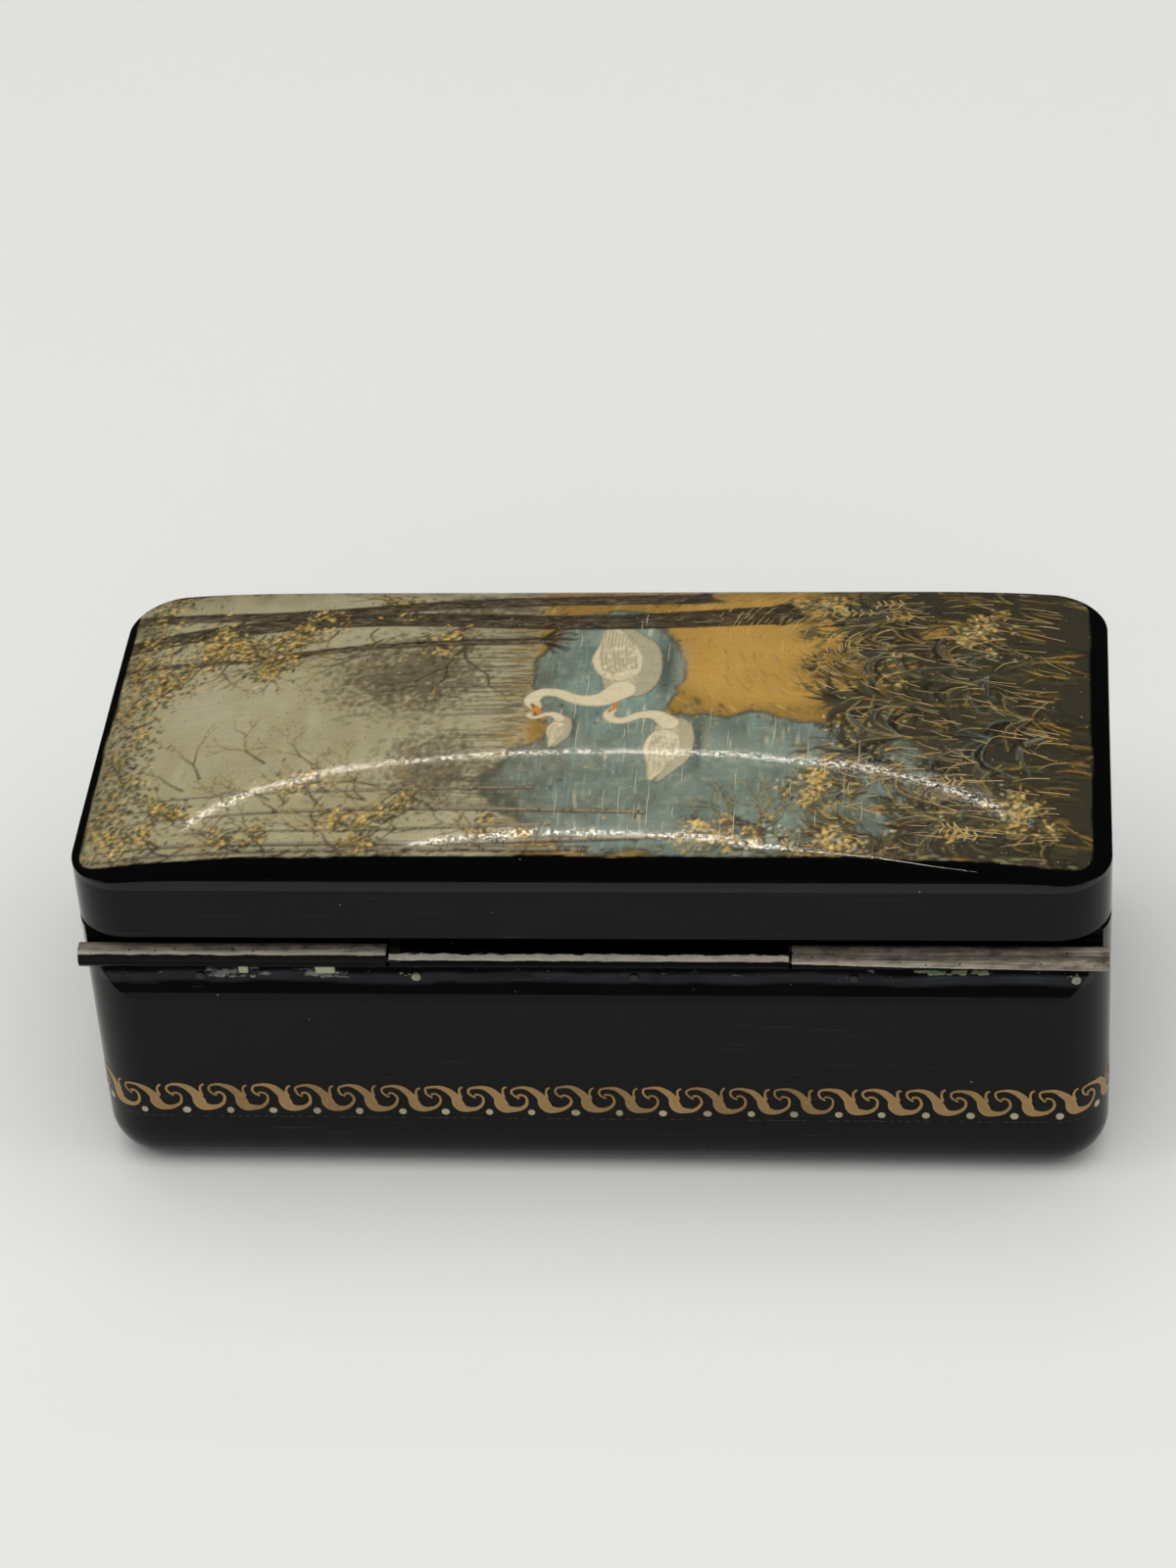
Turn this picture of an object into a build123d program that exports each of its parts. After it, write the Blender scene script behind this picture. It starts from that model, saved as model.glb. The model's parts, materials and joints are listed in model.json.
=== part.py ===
"""Papier-mache lacquer box with a domed lid on a three-knuckle hinge.

Millimetres. X runs along the box, -Y is the opening side, +Y the hinge side, +Z is up.
The origin is the middle of the underside. The box is closed.
"""

from build123d import *
import math
import os

# Overall size of the closed box
box_length = 110.0
box_width = 51.5
parting_height = 33.0
lid_edge_height = 9.2
dome_rise = 2.8
dome_end_rise = 0.6
dome_end_fall = 2.4
ceiling_step = 0.3
ceiling_rise = 1.6
ceiling_end_run = 11.0

# Wound rings and boards
wall = 3.8
bottom_board_thickness = 3.0
lid_board_thickness = 2.4
corner_radius = 6.0
inside_corner_radius = 2.2
bottom_rounding = 5.0
rim_chamfer = 0.3

# Shoulder of the lid, between its plumb walls and the dome
bevel_drop = 0.45
bevel_run = 4.8
bevel_rise = 1.9
shoulder_rounding = 2.2

# Inner lip and the lid's fit over it
lip_thickness = 1.4
lip_corner_radius = 1.2
lip_height = 2.4
lip_chamfer = 0.4
lid_play = 0.4
rim_gap = 0.15

# Hinge: rolled knuckles, their leaves and the wire through them
barrel_radius = 1.3
barrel_inset = 0.05
barrel_end_gap = 0.3
axis_drop = 3.1
middle_knuckle_length = 42.4
knuckle_gap = 0.35
sheet = 0.55
seam_width = 0.15
pin_play = 0.05
pin_end_recess = 0.4
leaf_end_gap = 2.4
base_leaf_drop = 5.4
lid_leaf_rise = 5.0
slot_play = 0.02

# Recess in the back of the base for the hinge, with its sloping ledge
channel_clearance = 0.15
ledge_drop = 5.0
ledge_rounding = 4.0
ledge_relief = 0.2

# Pins that hold the leaves in their slots
leaf_pin_radius = 0.5
leaf_pin_count = 5
leaf_pin_tail = 0.7
leaf_pin_proud = 0.1
base_pin_drop = 2.6
base_pin_left_inset = 1.3
base_pin_right_inset = 10.7
lid_pin_rise = 2.6
lid_pin_inset = 6.0

# Angle on a knuckle from its leaf round to the seam where the rolled sheet ends
seam_angle = 57.0
# Share of a corner or wall that a rounding may take up
rounding_share = 0.94
# Where the lengthwise sections of the dome stand, as shares of the half length
dome_section_shares = (-1.0, -0.85, -0.6, 0.0, 0.6, 0.85, 1.0)
# How far each section has dropped towards the ends, as shares of the whole fall
dome_fall_shares = (1.0, 0.45, 0.08, 0.0, 0.08, 0.45, 1.0)
# How far a cutter runs past what it cuts
overrun = 1.0

back = box_width / 2
axis_y = back - barrel_inset - barrel_radius
axis_z = parting_height - axis_drop
leaf_y = axis_y - barrel_radius
channel_radius = barrel_radius + channel_clearance
lid_wall_thickness = wall - lid_play
lid_rim_z = parting_height + rim_gap
lid_edge_z = parting_height + lid_edge_height
lid_joint_z = lid_edge_z - lid_board_thickness
lip_top_z = parting_height + lip_height
barrel_length = box_length - 2 * barrel_end_gap
leaf_length = box_length - 2 * leaf_end_gap
outer_knuckle_length = (barrel_length - middle_knuckle_length) / 2 - knuckle_gap
bore_radius = barrel_radius - sheet
ledge_foot_z = axis_z - ledge_drop
ledge_top_z = axis_z - channel_radius


def rounded_block(inset, radius, bottom, top):
    """Upright block with the box's plan, drawn in all round by an inset."""
    plan = RectangleRounded(box_length - 2 * inset, box_width - 2 * inset, radius)
    return extrude(Pos(0, 0, bottom) * plan, top - bottom)


def slab(bottom, top):
    """Block wider than the box between two heights."""
    height = top - bottom
    centre = Pos(0, 0, bottom + height / 2)
    return centre * Box(box_length + 2 * overrun, box_width + 2 * overrun, height)


def base_outside():
    """Outer form of the base: plumb walls over a rounded foot."""
    block = rounded_block(0, corner_radius, 0, parting_height)
    foot = block.faces().sort_by(Axis.Z)[0]
    block = fillet(foot.edges(), min(bottom_rounding, corner_radius * rounding_share))
    rim = block.faces().sort_by(Axis.Z)[-1]
    return chamfer(rim.edges(), rim_chamfer)


def arched_section(x, half_width, edge_z, rise, floor_z):
    """Upright face across the box whose top is an arc through the two edges and the crown."""
    reach = half_width + overrun
    arc_radius = (half_width**2 + rise**2) / (2 * rise)
    crown_z = edge_z + rise
    end_z = crown_z - arc_radius + math.sqrt(arc_radius**2 - reach**2)
    outline = [
        Line((-reach, floor_z), (reach, floor_z)),
        Line((reach, floor_z), (reach, end_z)),
        ThreePointArc((reach, end_z), (0, crown_z), (-reach, end_z)),
        Line((-reach, end_z), (-reach, floor_z)),
    ]
    across = Plane(origin=(x, 0, 0), x_dir=(0, 1, 0), z_dir=(1, 0, 0))
    return across * make_face(outline)


def dome_block(inset, edge_z, crown_rise, floor_z):
    """Solid under a pillow dome that is highest in the middle and falls off to its ends."""
    half_length = box_length / 2 - inset
    half_width = box_width / 2 - inset
    sections = []
    for share, fall_share in zip(dome_section_shares, dome_fall_shares):
        rise = dome_end_rise + (crown_rise - dome_end_rise) * (1 - share**2)
        x = share * (half_length + overrun)
        low_z = edge_z - dome_end_fall * fall_share
        sections.append(arched_section(x, half_width, low_z, rise, floor_z))
    return loft(sections)


def lid_outside():
    """Outer form of the lid: plumb walls, a rounded shoulder, a narrow bevel and the dome."""
    bevel_z = lid_edge_z - bevel_drop
    run = min(bevel_run, corner_radius * rounding_share)
    block = rounded_block(0, corner_radius, lid_rim_z, bevel_z + bevel_rise)
    top = block.faces().sort_by(Axis.Z)[-1]
    block = chamfer(top.edges(), run, bevel_rise, reference=top)
    shoulder = block.edges().group_by(Axis.Z)[-3]
    block = fillet(shoulder, shoulder_rounding)
    rim = block.faces().sort_by(Axis.Z)[0]
    block = chamfer(rim.edges(), rim_chamfer)
    block += rounded_block(run, corner_radius - run, lid_joint_z, lid_edge_z + dome_rise + overrun)
    return block & dome_block(0, lid_edge_z, dome_rise, lid_rim_z - overrun)


def lid_hollow(top):
    """Straight part of the lid's hollow, from below its rim to a height."""
    return rounded_block(lid_wall_thickness, inside_corner_radius, lid_rim_z - overrun, top)


def ceiling_hollow():
    """Lid's hollow under its ceiling, which is arched across and slopes down to its ends."""
    edge_z = lid_joint_z + ceiling_step
    half_width = box_width / 2 - lid_wall_thickness
    arch = arched_section(-box_length / 2, half_width, edge_z, ceiling_rise, lid_rim_z - 2 * overrun)
    top_z = edge_z + ceiling_rise
    end_x = box_length / 2 - lid_wall_thickness
    flat_x = end_x - ceiling_end_run
    low_z = lid_rim_z - 2 * overrun
    outline = [
        (-end_x, low_z),
        (end_x, low_z),
        (end_x, edge_z),
        (flat_x, top_z),
        (-flat_x, top_z),
        (-end_x, edge_z),
    ]
    roof = extrude(Plane.XZ * make_face(Polyline(outline, close=True)), box_width / 2, both=True)
    return lid_hollow(top_z + overrun) & extrude(arch, box_length) & roof


def ledge_y(z):
    """Depth of the sloping ledge's face at a height between its foot and its top."""
    share = (z - ledge_foot_z) / (ledge_top_z - ledge_foot_z)
    return back + (axis_y - back) * share


def hinge_recess():
    """Cutter along the back of the base: a round channel for the barrel over the ledge."""
    foot = (back, ledge_foot_z)
    low = ledge_foot_z - ledge_rounding
    high = parting_height + overrun
    far = back + overrun
    outline = [
        Line((back + ledge_relief, low), foot),
        Line(foot, (axis_y, ledge_top_z)),
        CenterArc((axis_y, axis_z), channel_radius, 270, -90),
        Line((axis_y - channel_radius, axis_z), (axis_y - channel_radius, high)),
        Line((axis_y - channel_radius, high), (far, high)),
        Line((far, high), (far, low)),
        Line((far, low), (back + ledge_relief, low)),
    ]
    profile = make_face(outline)
    corner = profile.vertices().sort_by_distance(foot)[0]
    profile = fillet(corner, ledge_rounding)
    return extrude(Plane.YZ * profile, box_length / 2 + overrun, both=True)


def leaf_plate(length, bottom, top, play=0.0):
    """Flat part of a leaf behind the barrel, or its slot where play is given."""
    thickness = sheet + 2 * play
    centre = Pos(0, leaf_y + sheet / 2, (bottom + top) / 2)
    return centre * Box(length + 2 * play, thickness, top - bottom)


def rolled_knuckle(side, length):
    """Sheet rolled into a tube about the hinge axis, for a leaf that leaves up (1) or down (-1)."""
    ring = Circle(barrel_radius) - Circle(bore_radius)
    turn = 180 - side * seam_angle
    middle = barrel_radius - sheet / 2
    ring -= Rot(0, 0, turn) * Pos(middle, 0) * Rectangle(sheet + 2 * seam_width, seam_width)
    return Pos(-length / 2, axis_y, axis_z) * extrude(Plane.YZ * ring, length)


def leaf_pins(left_inset, right_inset, outer_y, inner_y, z, radius):
    """Evenly spaced row of round bars that lie across the wall between two depths."""
    bar = Rot(90, 0, 0) * Cylinder(radius, outer_y - inner_y)
    middle_y = (outer_y + inner_y) / 2
    first_x = left_inset - leaf_length / 2
    pitch = (leaf_length - left_inset - right_inset) / (leaf_pin_count - 1)
    return [Pos(first_x + pitch * index, middle_y, z) * bar for index in range(leaf_pin_count)]


def base_pins(play=0.0, open_length=0.0):
    """Pins from the ledge through the base leaf, or with play their holes, open at the ledge."""
    z = axis_z - base_pin_drop
    outer_y = ledge_y(z) + leaf_pin_proud + open_length
    inner_y = leaf_y - leaf_pin_tail - play
    radius = leaf_pin_radius + play
    return leaf_pins(base_pin_left_inset, base_pin_right_inset, outer_y, inner_y, z, radius)


def lid_pins(play=0.0, open_length=0.0):
    """Pins from inside the lid through the lid leaf, or with play their holes, open inside."""
    z = lid_rim_z + lid_pin_rise
    inner_y = back - lid_wall_thickness - open_length
    outer_y = leaf_y + sheet + leaf_pin_tail + play
    radius = leaf_pin_radius + play
    return leaf_pins(lid_pin_inset, lid_pin_inset, outer_y, inner_y, z, radius)


def make_bottom_board():
    """Bottom board, its edge rounded with the foot of the walls."""
    return base_outside() & slab(0, bottom_board_thickness)


def make_base_wall():
    """Wall ring of the base with the hinge recess, the leaf slot and the pin holes."""
    ring = base_outside() & slab(bottom_board_thickness, parting_height)
    ring -= rounded_block(wall, inside_corner_radius, 0, parting_height + overrun)
    ring -= hinge_recess()
    ring -= leaf_plate(leaf_length, axis_z - base_leaf_drop, axis_z, slot_play)
    for hole in base_pins(slot_play, overrun):
        ring -= hole
    return ring


def make_inner_lip():
    """Thin ring inside the base that stands proud of the rim under the lid."""
    ring = rounded_block(wall, inside_corner_radius, bottom_board_thickness, lip_top_z)
    ring = chamfer(ring.faces().sort_by(Axis.Z)[-1].edges(), lip_chamfer)
    inset = wall + lip_thickness
    hollow = rounded_block(inset, lip_corner_radius, 0, lip_top_z + overrun)
    return ring - hollow


def make_lid_wall():
    """Wall ring of the lid with its leaf slot and pin holes."""
    ring = lid_outside() & slab(lid_rim_z, lid_joint_z)
    ring -= lid_hollow(lid_joint_z + overrun)
    ring -= leaf_plate(leaf_length, lid_rim_z - overrun, lid_rim_z + lid_leaf_rise, slot_play)
    for hole in lid_pins(slot_play, overrun):
        ring -= hole
    return ring


def make_lid_top():
    """Domed lid board with its shoulder."""
    board = lid_outside() & slab(lid_joint_z, lid_edge_z + dome_rise + overrun)
    return board - ceiling_hollow()


def make_base_hinge_leaf():
    """Base leaf in its slot, cut away under the middle knuckle, with two rolled knuckles."""
    leaf = leaf_plate(leaf_length, axis_z - base_leaf_drop, ledge_top_z)
    flank = (leaf_length - middle_knuckle_length) / 2 - knuckle_gap
    flank_x = middle_knuckle_length / 2 + knuckle_gap + flank / 2
    knuckle_x = middle_knuckle_length / 2 + knuckle_gap + outer_knuckle_length / 2
    neck = leaf_plate(flank, ledge_top_z, axis_z)
    for end in (-1, 1):
        leaf += Pos(end * flank_x, 0, 0) * neck
        leaf += Pos(end * knuckle_x, 0, 0) * rolled_knuckle(-1, outer_knuckle_length)
    for hole in base_pins(slot_play, overrun):
        leaf -= hole
    return leaf


def make_lid_hinge_leaf():
    """Lid leaf in its slot, with a neck down to the middle knuckle."""
    leaf = leaf_plate(leaf_length, lid_rim_z, lid_rim_z + lid_leaf_rise)
    leaf += leaf_plate(middle_knuckle_length, axis_z, lid_rim_z)
    leaf += rolled_knuckle(1, middle_knuckle_length)
    for hole in lid_pins(slot_play, overrun):
        leaf -= hole
    return leaf


def make_hinge_pin():
    """Wire through the three knuckles."""
    length = barrel_length - 2 * pin_end_recess
    return Pos(0, axis_y, axis_z) * Rot(0, 90, 0) * Cylinder(bore_radius - pin_play, length)


pieces = {
    "bottom_board": make_bottom_board(),
    "base_wall": make_base_wall(),
    "inner_lip": make_inner_lip(),
    "lid_wall": make_lid_wall(),
    "lid_top": make_lid_top(),
    "base_hinge_leaf": make_base_hinge_leaf(),
    "lid_hinge_leaf": make_lid_hinge_leaf(),
    "hinge_pin": make_hinge_pin(),
    "base_leaf_pins": Compound(base_pins()),
    "lid_leaf_pins": Compound(lid_pins()),
}

os.makedirs("parts", exist_ok=True)
for name, piece in pieces.items():
    export_step(piece, f"parts/{name}.step")
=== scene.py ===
"""Looks of a papier-mache lacquer box with a painted, domed lid.

Metres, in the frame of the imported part: X along the box, -Y the opening side, +Y the hinge
side, +Z up. The picture on the lid stands upright when the box is turned so that +X is up.
"""

import json
import math
from types import SimpleNamespace

import bmesh
import bpy
import numpy as np
from bpy.props import FloatProperty, FloatVectorProperty, IntProperty, PointerProperty
from mathutils import Matrix, Vector


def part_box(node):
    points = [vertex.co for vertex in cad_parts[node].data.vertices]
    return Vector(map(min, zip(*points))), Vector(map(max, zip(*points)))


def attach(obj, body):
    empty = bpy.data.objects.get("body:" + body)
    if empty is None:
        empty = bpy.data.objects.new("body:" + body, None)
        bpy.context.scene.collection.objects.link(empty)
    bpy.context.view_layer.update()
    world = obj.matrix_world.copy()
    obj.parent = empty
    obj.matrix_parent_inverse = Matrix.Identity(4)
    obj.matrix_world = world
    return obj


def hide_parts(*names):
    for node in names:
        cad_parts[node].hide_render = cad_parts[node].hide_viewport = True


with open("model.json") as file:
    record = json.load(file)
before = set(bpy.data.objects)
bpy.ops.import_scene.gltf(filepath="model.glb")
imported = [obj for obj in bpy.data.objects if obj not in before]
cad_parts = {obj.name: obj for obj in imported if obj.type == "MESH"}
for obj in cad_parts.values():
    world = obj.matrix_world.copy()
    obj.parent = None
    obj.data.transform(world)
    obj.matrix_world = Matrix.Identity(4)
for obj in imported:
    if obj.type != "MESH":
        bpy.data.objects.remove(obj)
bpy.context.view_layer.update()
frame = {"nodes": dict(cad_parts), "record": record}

bl_info = {
    "name": "Painted lacquer box",
    "version": (1, 0, 0),
    "blender": (4, 5, 0),
    "location": "3D View > Sidebar > Lacquer box",
    "description": "Finishes a hinged lacquer box: lacquer, picture, scroll border and hinge",
    "category": "Object",
}

MM = 0.001

# Plan and heights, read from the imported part
lid_low, lid_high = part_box("lid_top")
half_length = lid_high[0]
half_width = lid_high[1]
lid_joint_z = lid_low[2]
crown_z = lid_high[2]
hinge_place = frame["record"]["behaviour"]["joints"][0]["pos_m"]
barrel_y = hinge_place[1]
barrel_z = hinge_place[2]
barrel_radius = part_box("lid_hinge_leaf")[1][1] - barrel_y

# Forms that the box's pieces share
corner_radius = 6.0 * MM
wall_thickness = 3.8 * MM
lid_wall_thickness = 3.4 * MM
# Height over which the bottom board is red, just under its top
red_board_z = 2.9 * MM
hollow_corner_radius = 2.2 * MM

# Shoulder, bevel and dome of the lid
bevel_z = lid_joint_z + 1.95 * MM
bevel_slope = 1.9 / 4.8
shoulder_radius = 2.2 * MM
dome_edge_z = lid_joint_z + 2.4 * MM
dome_end_rise = 0.6 * MM
corner_fall = 2.2 * MM
corner_fall_power = 5
paint_room = 0.05 * MM
blend_width = 0.3 * MM
ceiling_step = 0.3 * MM
ceiling_rise = 1.6 * MM
least_board = 1.2 * MM

# Recess in the back of the base: its gap round the barrel, and how deep its sloping ledge goes
recess_gap = 0.15 * MM
ledge_drop = 5.0 * MM


class Studio(bpy.types.PropertyGroup):
    """Floor, lamps and surroundings."""

    floor: FloatVectorProperty(
        name="Floor", description="Colour of the floor", subtype="COLOR", default=(0.70, 0.70, 0.68)
    )
    backdrop: FloatVectorProperty(
        name="Backdrop", description="Colour that the camera sees far off", subtype="COLOR",
        default=(0.735, 0.740, 0.715),
    )
    soft_lamp: FloatProperty(
        name="Soft lamp", description="Power of the wide lamp overhead", unit="POWER", default=32.0
    )
    side_lamp: FloatProperty(
        name="Side lamps", description="Power of each side lamp", unit="POWER", default=4.5
    )
    strip_lamp: FloatProperty(
        name="Strip lamps", description="Power of a metre of strip lamp", unit="POWER", default=1.4
    )


class Lacquer(bpy.types.PropertyGroup):
    """Lacquer of the walls and the inside."""

    black: FloatVectorProperty(
        name="Black", description="Black lacquer", subtype="COLOR", default=(0.0010, 0.0010, 0.0011)
    )
    red: FloatVectorProperty(
        name="Red", description="Red lacquer inside", subtype="COLOR", default=(0.36, 0.022, 0.012)
    )
    dust: FloatVectorProperty(
        name="Dust", description="Dust specks", subtype="COLOR", default=(0.20, 0.20, 0.19)
    )
    # Grey of the painted reflection along the ledge's ridge, also mottled into the chips' crust
    ledge: FloatVectorProperty(
        name="Ledge sheen and crust", description="Painted sheen on the ledge, and crust of its chips", subtype="COLOR",
        default=(0.036, 0.039, 0.045),
    )
    chip: FloatVectorProperty(
        name="Chips", description="Ground that shows in the chips", subtype="COLOR",
        default=(0.30, 0.30, 0.28),
    )


class Metal(bpy.types.PropertyGroup):
    """Metal of the hinge and its pins."""

    bare: FloatVectorProperty(
        name="Bare", description="Rubbed bare metal", subtype="COLOR", default=(0.33, 0.285, 0.225)
    )
    tarnish: FloatVectorProperty(
        name="Tarnish", description="Dark tarnish", subtype="COLOR", default=(0.035, 0.028, 0.018)
    )
    verdigris: FloatVectorProperty(
        name="Verdigris", description="Green crust", subtype="COLOR", default=(0.19, 0.235, 0.12)
    )


class Picture(bpy.types.PropertyGroup):
    """Colours of the picture on the lid."""

    sky: FloatVectorProperty(
        name="Sky", description="Sage sky", subtype="COLOR", default=(0.300, 0.265, 0.150)
    )
    mist: FloatVectorProperty(
        name="Mist", description="Mist over the water", subtype="COLOR", default=(0.37, 0.34, 0.22)
    )
    wood: FloatVectorProperty(
        name="Far wood", description="Far trees", subtype="COLOR", default=(0.135, 0.108, 0.063)
    )
    bark: FloatVectorProperty(
        name="Bark", description="Dark bark", subtype="COLOR", default=(0.070, 0.052, 0.032)
    )
    olive: FloatVectorProperty(
        name="Olive", description="Leaves", subtype="COLOR", default=(0.105, 0.090, 0.038)
    )
    gold: FloatVectorProperty(
        name="Gold", description="Gold leaves and blades", subtype="COLOR", default=(0.44, 0.29, 0.085)
    )
    ochre: FloatVectorProperty(
        name="Ochre", description="Meadow", subtype="COLOR", default=(0.42, 0.245, 0.056)
    )
    water: FloatVectorProperty(
        name="Water", description="Lake", subtype="COLOR", default=(0.150, 0.185, 0.145)
    )
    turquoise: FloatVectorProperty(
        name="Turquoise", description="Pool", subtype="COLOR", default=(0.185, 0.270, 0.225)
    )
    cream: FloatVectorProperty(
        name="Cream", description="Birds and blossom", subtype="COLOR", default=(0.56, 0.48, 0.31)
    )
    earth: FloatVectorProperty(
        name="Earth", description="Dark grass", subtype="COLOR", default=(0.036, 0.031, 0.019)
    )
    margin: FloatProperty(
        name="Margin", description="Black margin round the picture", unit="LENGTH", default=0.00155
    )


class Border(bpy.types.PropertyGroup):
    """Running scroll round the foot."""

    repeats: IntProperty(name="Repeats", description="Scrolls round the box", default=66)
    foot: FloatProperty(
        name="Foot", description="Height of its lower edge", unit="LENGTH", default=0.00875
    )
    height: FloatProperty(
        name="Height", description="Height of a scroll", unit="LENGTH", default=0.00397
    )
    body: FloatVectorProperty(
        name="Body", description="Ochre gold", subtype="COLOR", default=(0.330, 0.195, 0.066)
    )
    edge: FloatVectorProperty(
        name="Edge", description="Paler gold", subtype="COLOR", default=(0.36, 0.27, 0.135)
    )
    dot: FloatVectorProperty(
        name="Dots", description="Cream dots", subtype="COLOR", default=(0.42, 0.37, 0.25)
    )
    ground: FloatVectorProperty(
        name="Ground", description="Brown ground", subtype="COLOR", default=(0.0130, 0.0068, 0.0028)
    )


class Wire:
    """An output of a finish's node tree that sums can be written with."""

    def __init__(self, finish, socket):
        self.finish = finish
        self.socket = socket

    def maths(self, operation, *values):
        """One Math node on values and other wires."""
        node = self.finish.tree.nodes.new("ShaderNodeMath")
        node.operation = operation
        for index, value in enumerate(values):
            self.finish.feed(node.inputs[index], value)
        return Wire(self.finish, node.outputs[0])

    def __add__(self, other):
        return self.maths("ADD", self, other)

    __radd__ = __add__

    def __sub__(self, other):
        return self.maths("SUBTRACT", self, other)

    def __rsub__(self, other):
        return self.maths("SUBTRACT", other, self)

    def __mul__(self, other):
        return self.maths("MULTIPLY", self, other)

    __rmul__ = __mul__

    def __truediv__(self, other):
        return self.maths("DIVIDE", self, other)

    def __pow__(self, other):
        return self.maths("POWER", self, other)

    def __abs__(self):
        return self.maths("ABSOLUTE", self)

    def __lt__(self, other):
        return self.maths("LESS_THAN", self, other)

    def __gt__(self, other):
        return self.maths("GREATER_THAN", self, other)

    def least(self, other):
        """The smaller of two."""
        return self.maths("MINIMUM", self, other)

    def most(self, other):
        """The larger of two."""
        return self.maths("MAXIMUM", self, other)

    def ramp(self, start, end):
        """0 at start, 1 at end, straight between and held beyond."""
        node = self.finish.tree.nodes.new("ShaderNodeMapRange")
        self.finish.feed(node.inputs[0], self)
        self.finish.feed(node.inputs[1], start)
        self.finish.feed(node.inputs[2], end)
        return Wire(self.finish, node.outputs[0])

    def near(self, middle, reach):
        """1 at a middle, 0 from a reach away and straight between."""
        return 1 - (abs(self - middle) / reach).least(1.0)


class Finish:
    """The node tree of a material or the world, and a method that makes any node in it."""

    def __init__(self, name, family="materials"):
        self.owner = getattr(bpy.data, family).new(name)
        self.owner.use_nodes = True
        self.tree = self.owner.node_tree
        self.tree.nodes.clear()

    def feed(self, socket, value):
        """Links a wire to a socket, or sets a number or colour on it."""
        if isinstance(value, Wire):
            self.tree.links.new(value.socket, socket)
        elif hasattr(value, "__len__") and socket.type == "RGBA":
            socket.default_value = (*value[:3], 1.0)
        else:
            socket.default_value = value

    def make(self, kind, settings=None, inputs=None, output=0):
        """Any node: its type, its settings, which are set first, and what its sockets get."""
        node = self.tree.nodes.new(kind)
        for name, value in (settings or {}).items():
            setattr(node, name, value)
        for name, value in (inputs or {}).items():
            self.feed(node.inputs[name], value)
        return Wire(self, node.outputs[output]) if len(node.outputs) else None

    def place(self):
        """Point of the piece in its own frame, which is the box's."""
        return self.make("ShaderNodeTexCoord", output="Object")

    def painted(self, name, output="Fac"):
        """Value that a piece carries at its points."""
        return self.make("ShaderNodeAttribute", {"attribute_name": name}, output=output)

    def split(self, vector):
        """X, Y and Z of a vector."""
        x = self.make("ShaderNodeSeparateXYZ", inputs={0: vector}, output=0)
        return x, Wire(self, x.socket.node.outputs[1]), Wire(self, x.socket.node.outputs[2])

    def stretch(self, vector, scale):
        """Vector with each part multiplied."""
        return self.make("ShaderNodeVectorMath", {"operation": "MULTIPLY"}, {0: vector, 1: scale})

    def noise(self, vector, size, detail=2.0, roughness=0.5, scale=(1.0, 1.0, 1.0)):
        """Smooth noise from 0 to 1 whose features are about a size."""
        if scale != (1.0, 1.0, 1.0):
            vector = self.stretch(vector, scale)
        inputs = {"Vector": vector, "Scale": 1.0 / size, "Detail": detail, "Roughness": roughness}
        return self.make("ShaderNodeTexNoise", inputs=inputs)

    def cells(self, vector, size, feature="F1", output="Distance"):
        """Distance in scattered cells that are about a size."""
        inputs = {"Vector": vector, "Scale": 1.0 / size}
        return self.make("ShaderNodeTexVoronoi", {"feature": feature}, inputs, output)

    def specks(self, vector, size, share, radius_share=0.22):
        """1 in a few small round specks, in that share of the cells, and 0 elsewhere."""
        distance = self.cells(vector, size)
        pick = self.cells(vector, size, output="Color")
        chance = self.split(pick)[0]
        return (distance < radius_share * (0.45 + chance * (0.55 / share))) * (chance < share)

    def mix(self, mask, first, second, blend="MIX"):
        """Colours mixed by a mask from 0 to 1."""
        settings = {"data_type": "RGBA", "blend_type": blend}
        return self.make("ShaderNodeMix", settings, {0: mask, 6: first, 7: second}, output=2)

    def bump(self, height, distance, strength):
        """Fine relief for a shader's Normal."""
        inputs = {"Height": height, "Distance": distance, "Strength": strength}
        return self.make("ShaderNodeBump", inputs=inputs)

    def shader(self, **inputs):
        """Principled shader whose sockets are given by name."""
        named = {name.replace("_", " "): value for name, value in inputs.items()}
        return self.make("ShaderNodeBsdfPrincipled", inputs=named)

    def surface(self, **inputs):
        """Closes the tree with one shader and returns the material."""
        self.make("ShaderNodeOutputMaterial", inputs={"Surface": self.shader(**inputs)})
        return self.owner


class Piece:
    """Gathers the points, faces and point values of one closed piece."""

    def __init__(self):
        self.points = []
        self.faces = []
        self.values = {}
        self.count = 0

    def add(self, points, faces, **values):
        """Adds points with faces that count from the first of them."""
        start = self.count
        self.points.append(np.asarray(points, dtype=float))
        self.faces.extend([tuple(start + index for index in face) for face in faces])
        self.count += len(points)
        for name, value in values.items():
            value = np.broadcast_to(np.asarray(value, dtype=float), (len(points),))
            self.values.setdefault(name, []).append(value)

    def build(self, name, material, body, slot, sharp=40.0):
        """Makes the object, which rides on a body and has the material. The slot is not used."""
        mesh = bpy.data.meshes.new(name)
        mesh.from_pydata(np.concatenate(self.points).tolist(), [], self.faces)
        for value_name, parts in self.values.items():
            attribute = mesh.attributes.new(value_name, "FLOAT", "POINT")
            attribute.data.foreach_set("value", np.concatenate(parts).astype(np.float32))
        mesh.update()
        piece = bpy.data.objects.new(name, mesh)
        bpy.context.scene.collection.objects.link(piece)
        smooth_out(piece, sharp)
        mesh.materials.append(material)
        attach(piece, body)


def smooth_out(piece, sharp):
    """Turns faces outward and shades them smooth, but for edges sharper than an angle."""
    work = bmesh.new()
    work.from_mesh(piece.data)
    bmesh.ops.recalc_face_normals(work, faces=work.faces)
    work.to_mesh(piece.data)
    work.free()
    piece.data.polygons.foreach_set("use_smooth", [True] * len(piece.data.polygons))
    piece.data.set_sharp_from_angle(angle=math.radians(sharp))


def dress(node, material):
    """Gives a carried-over piece its finish."""
    for slot in frame["nodes"][node].material_slots:
        slot.material = material


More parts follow.
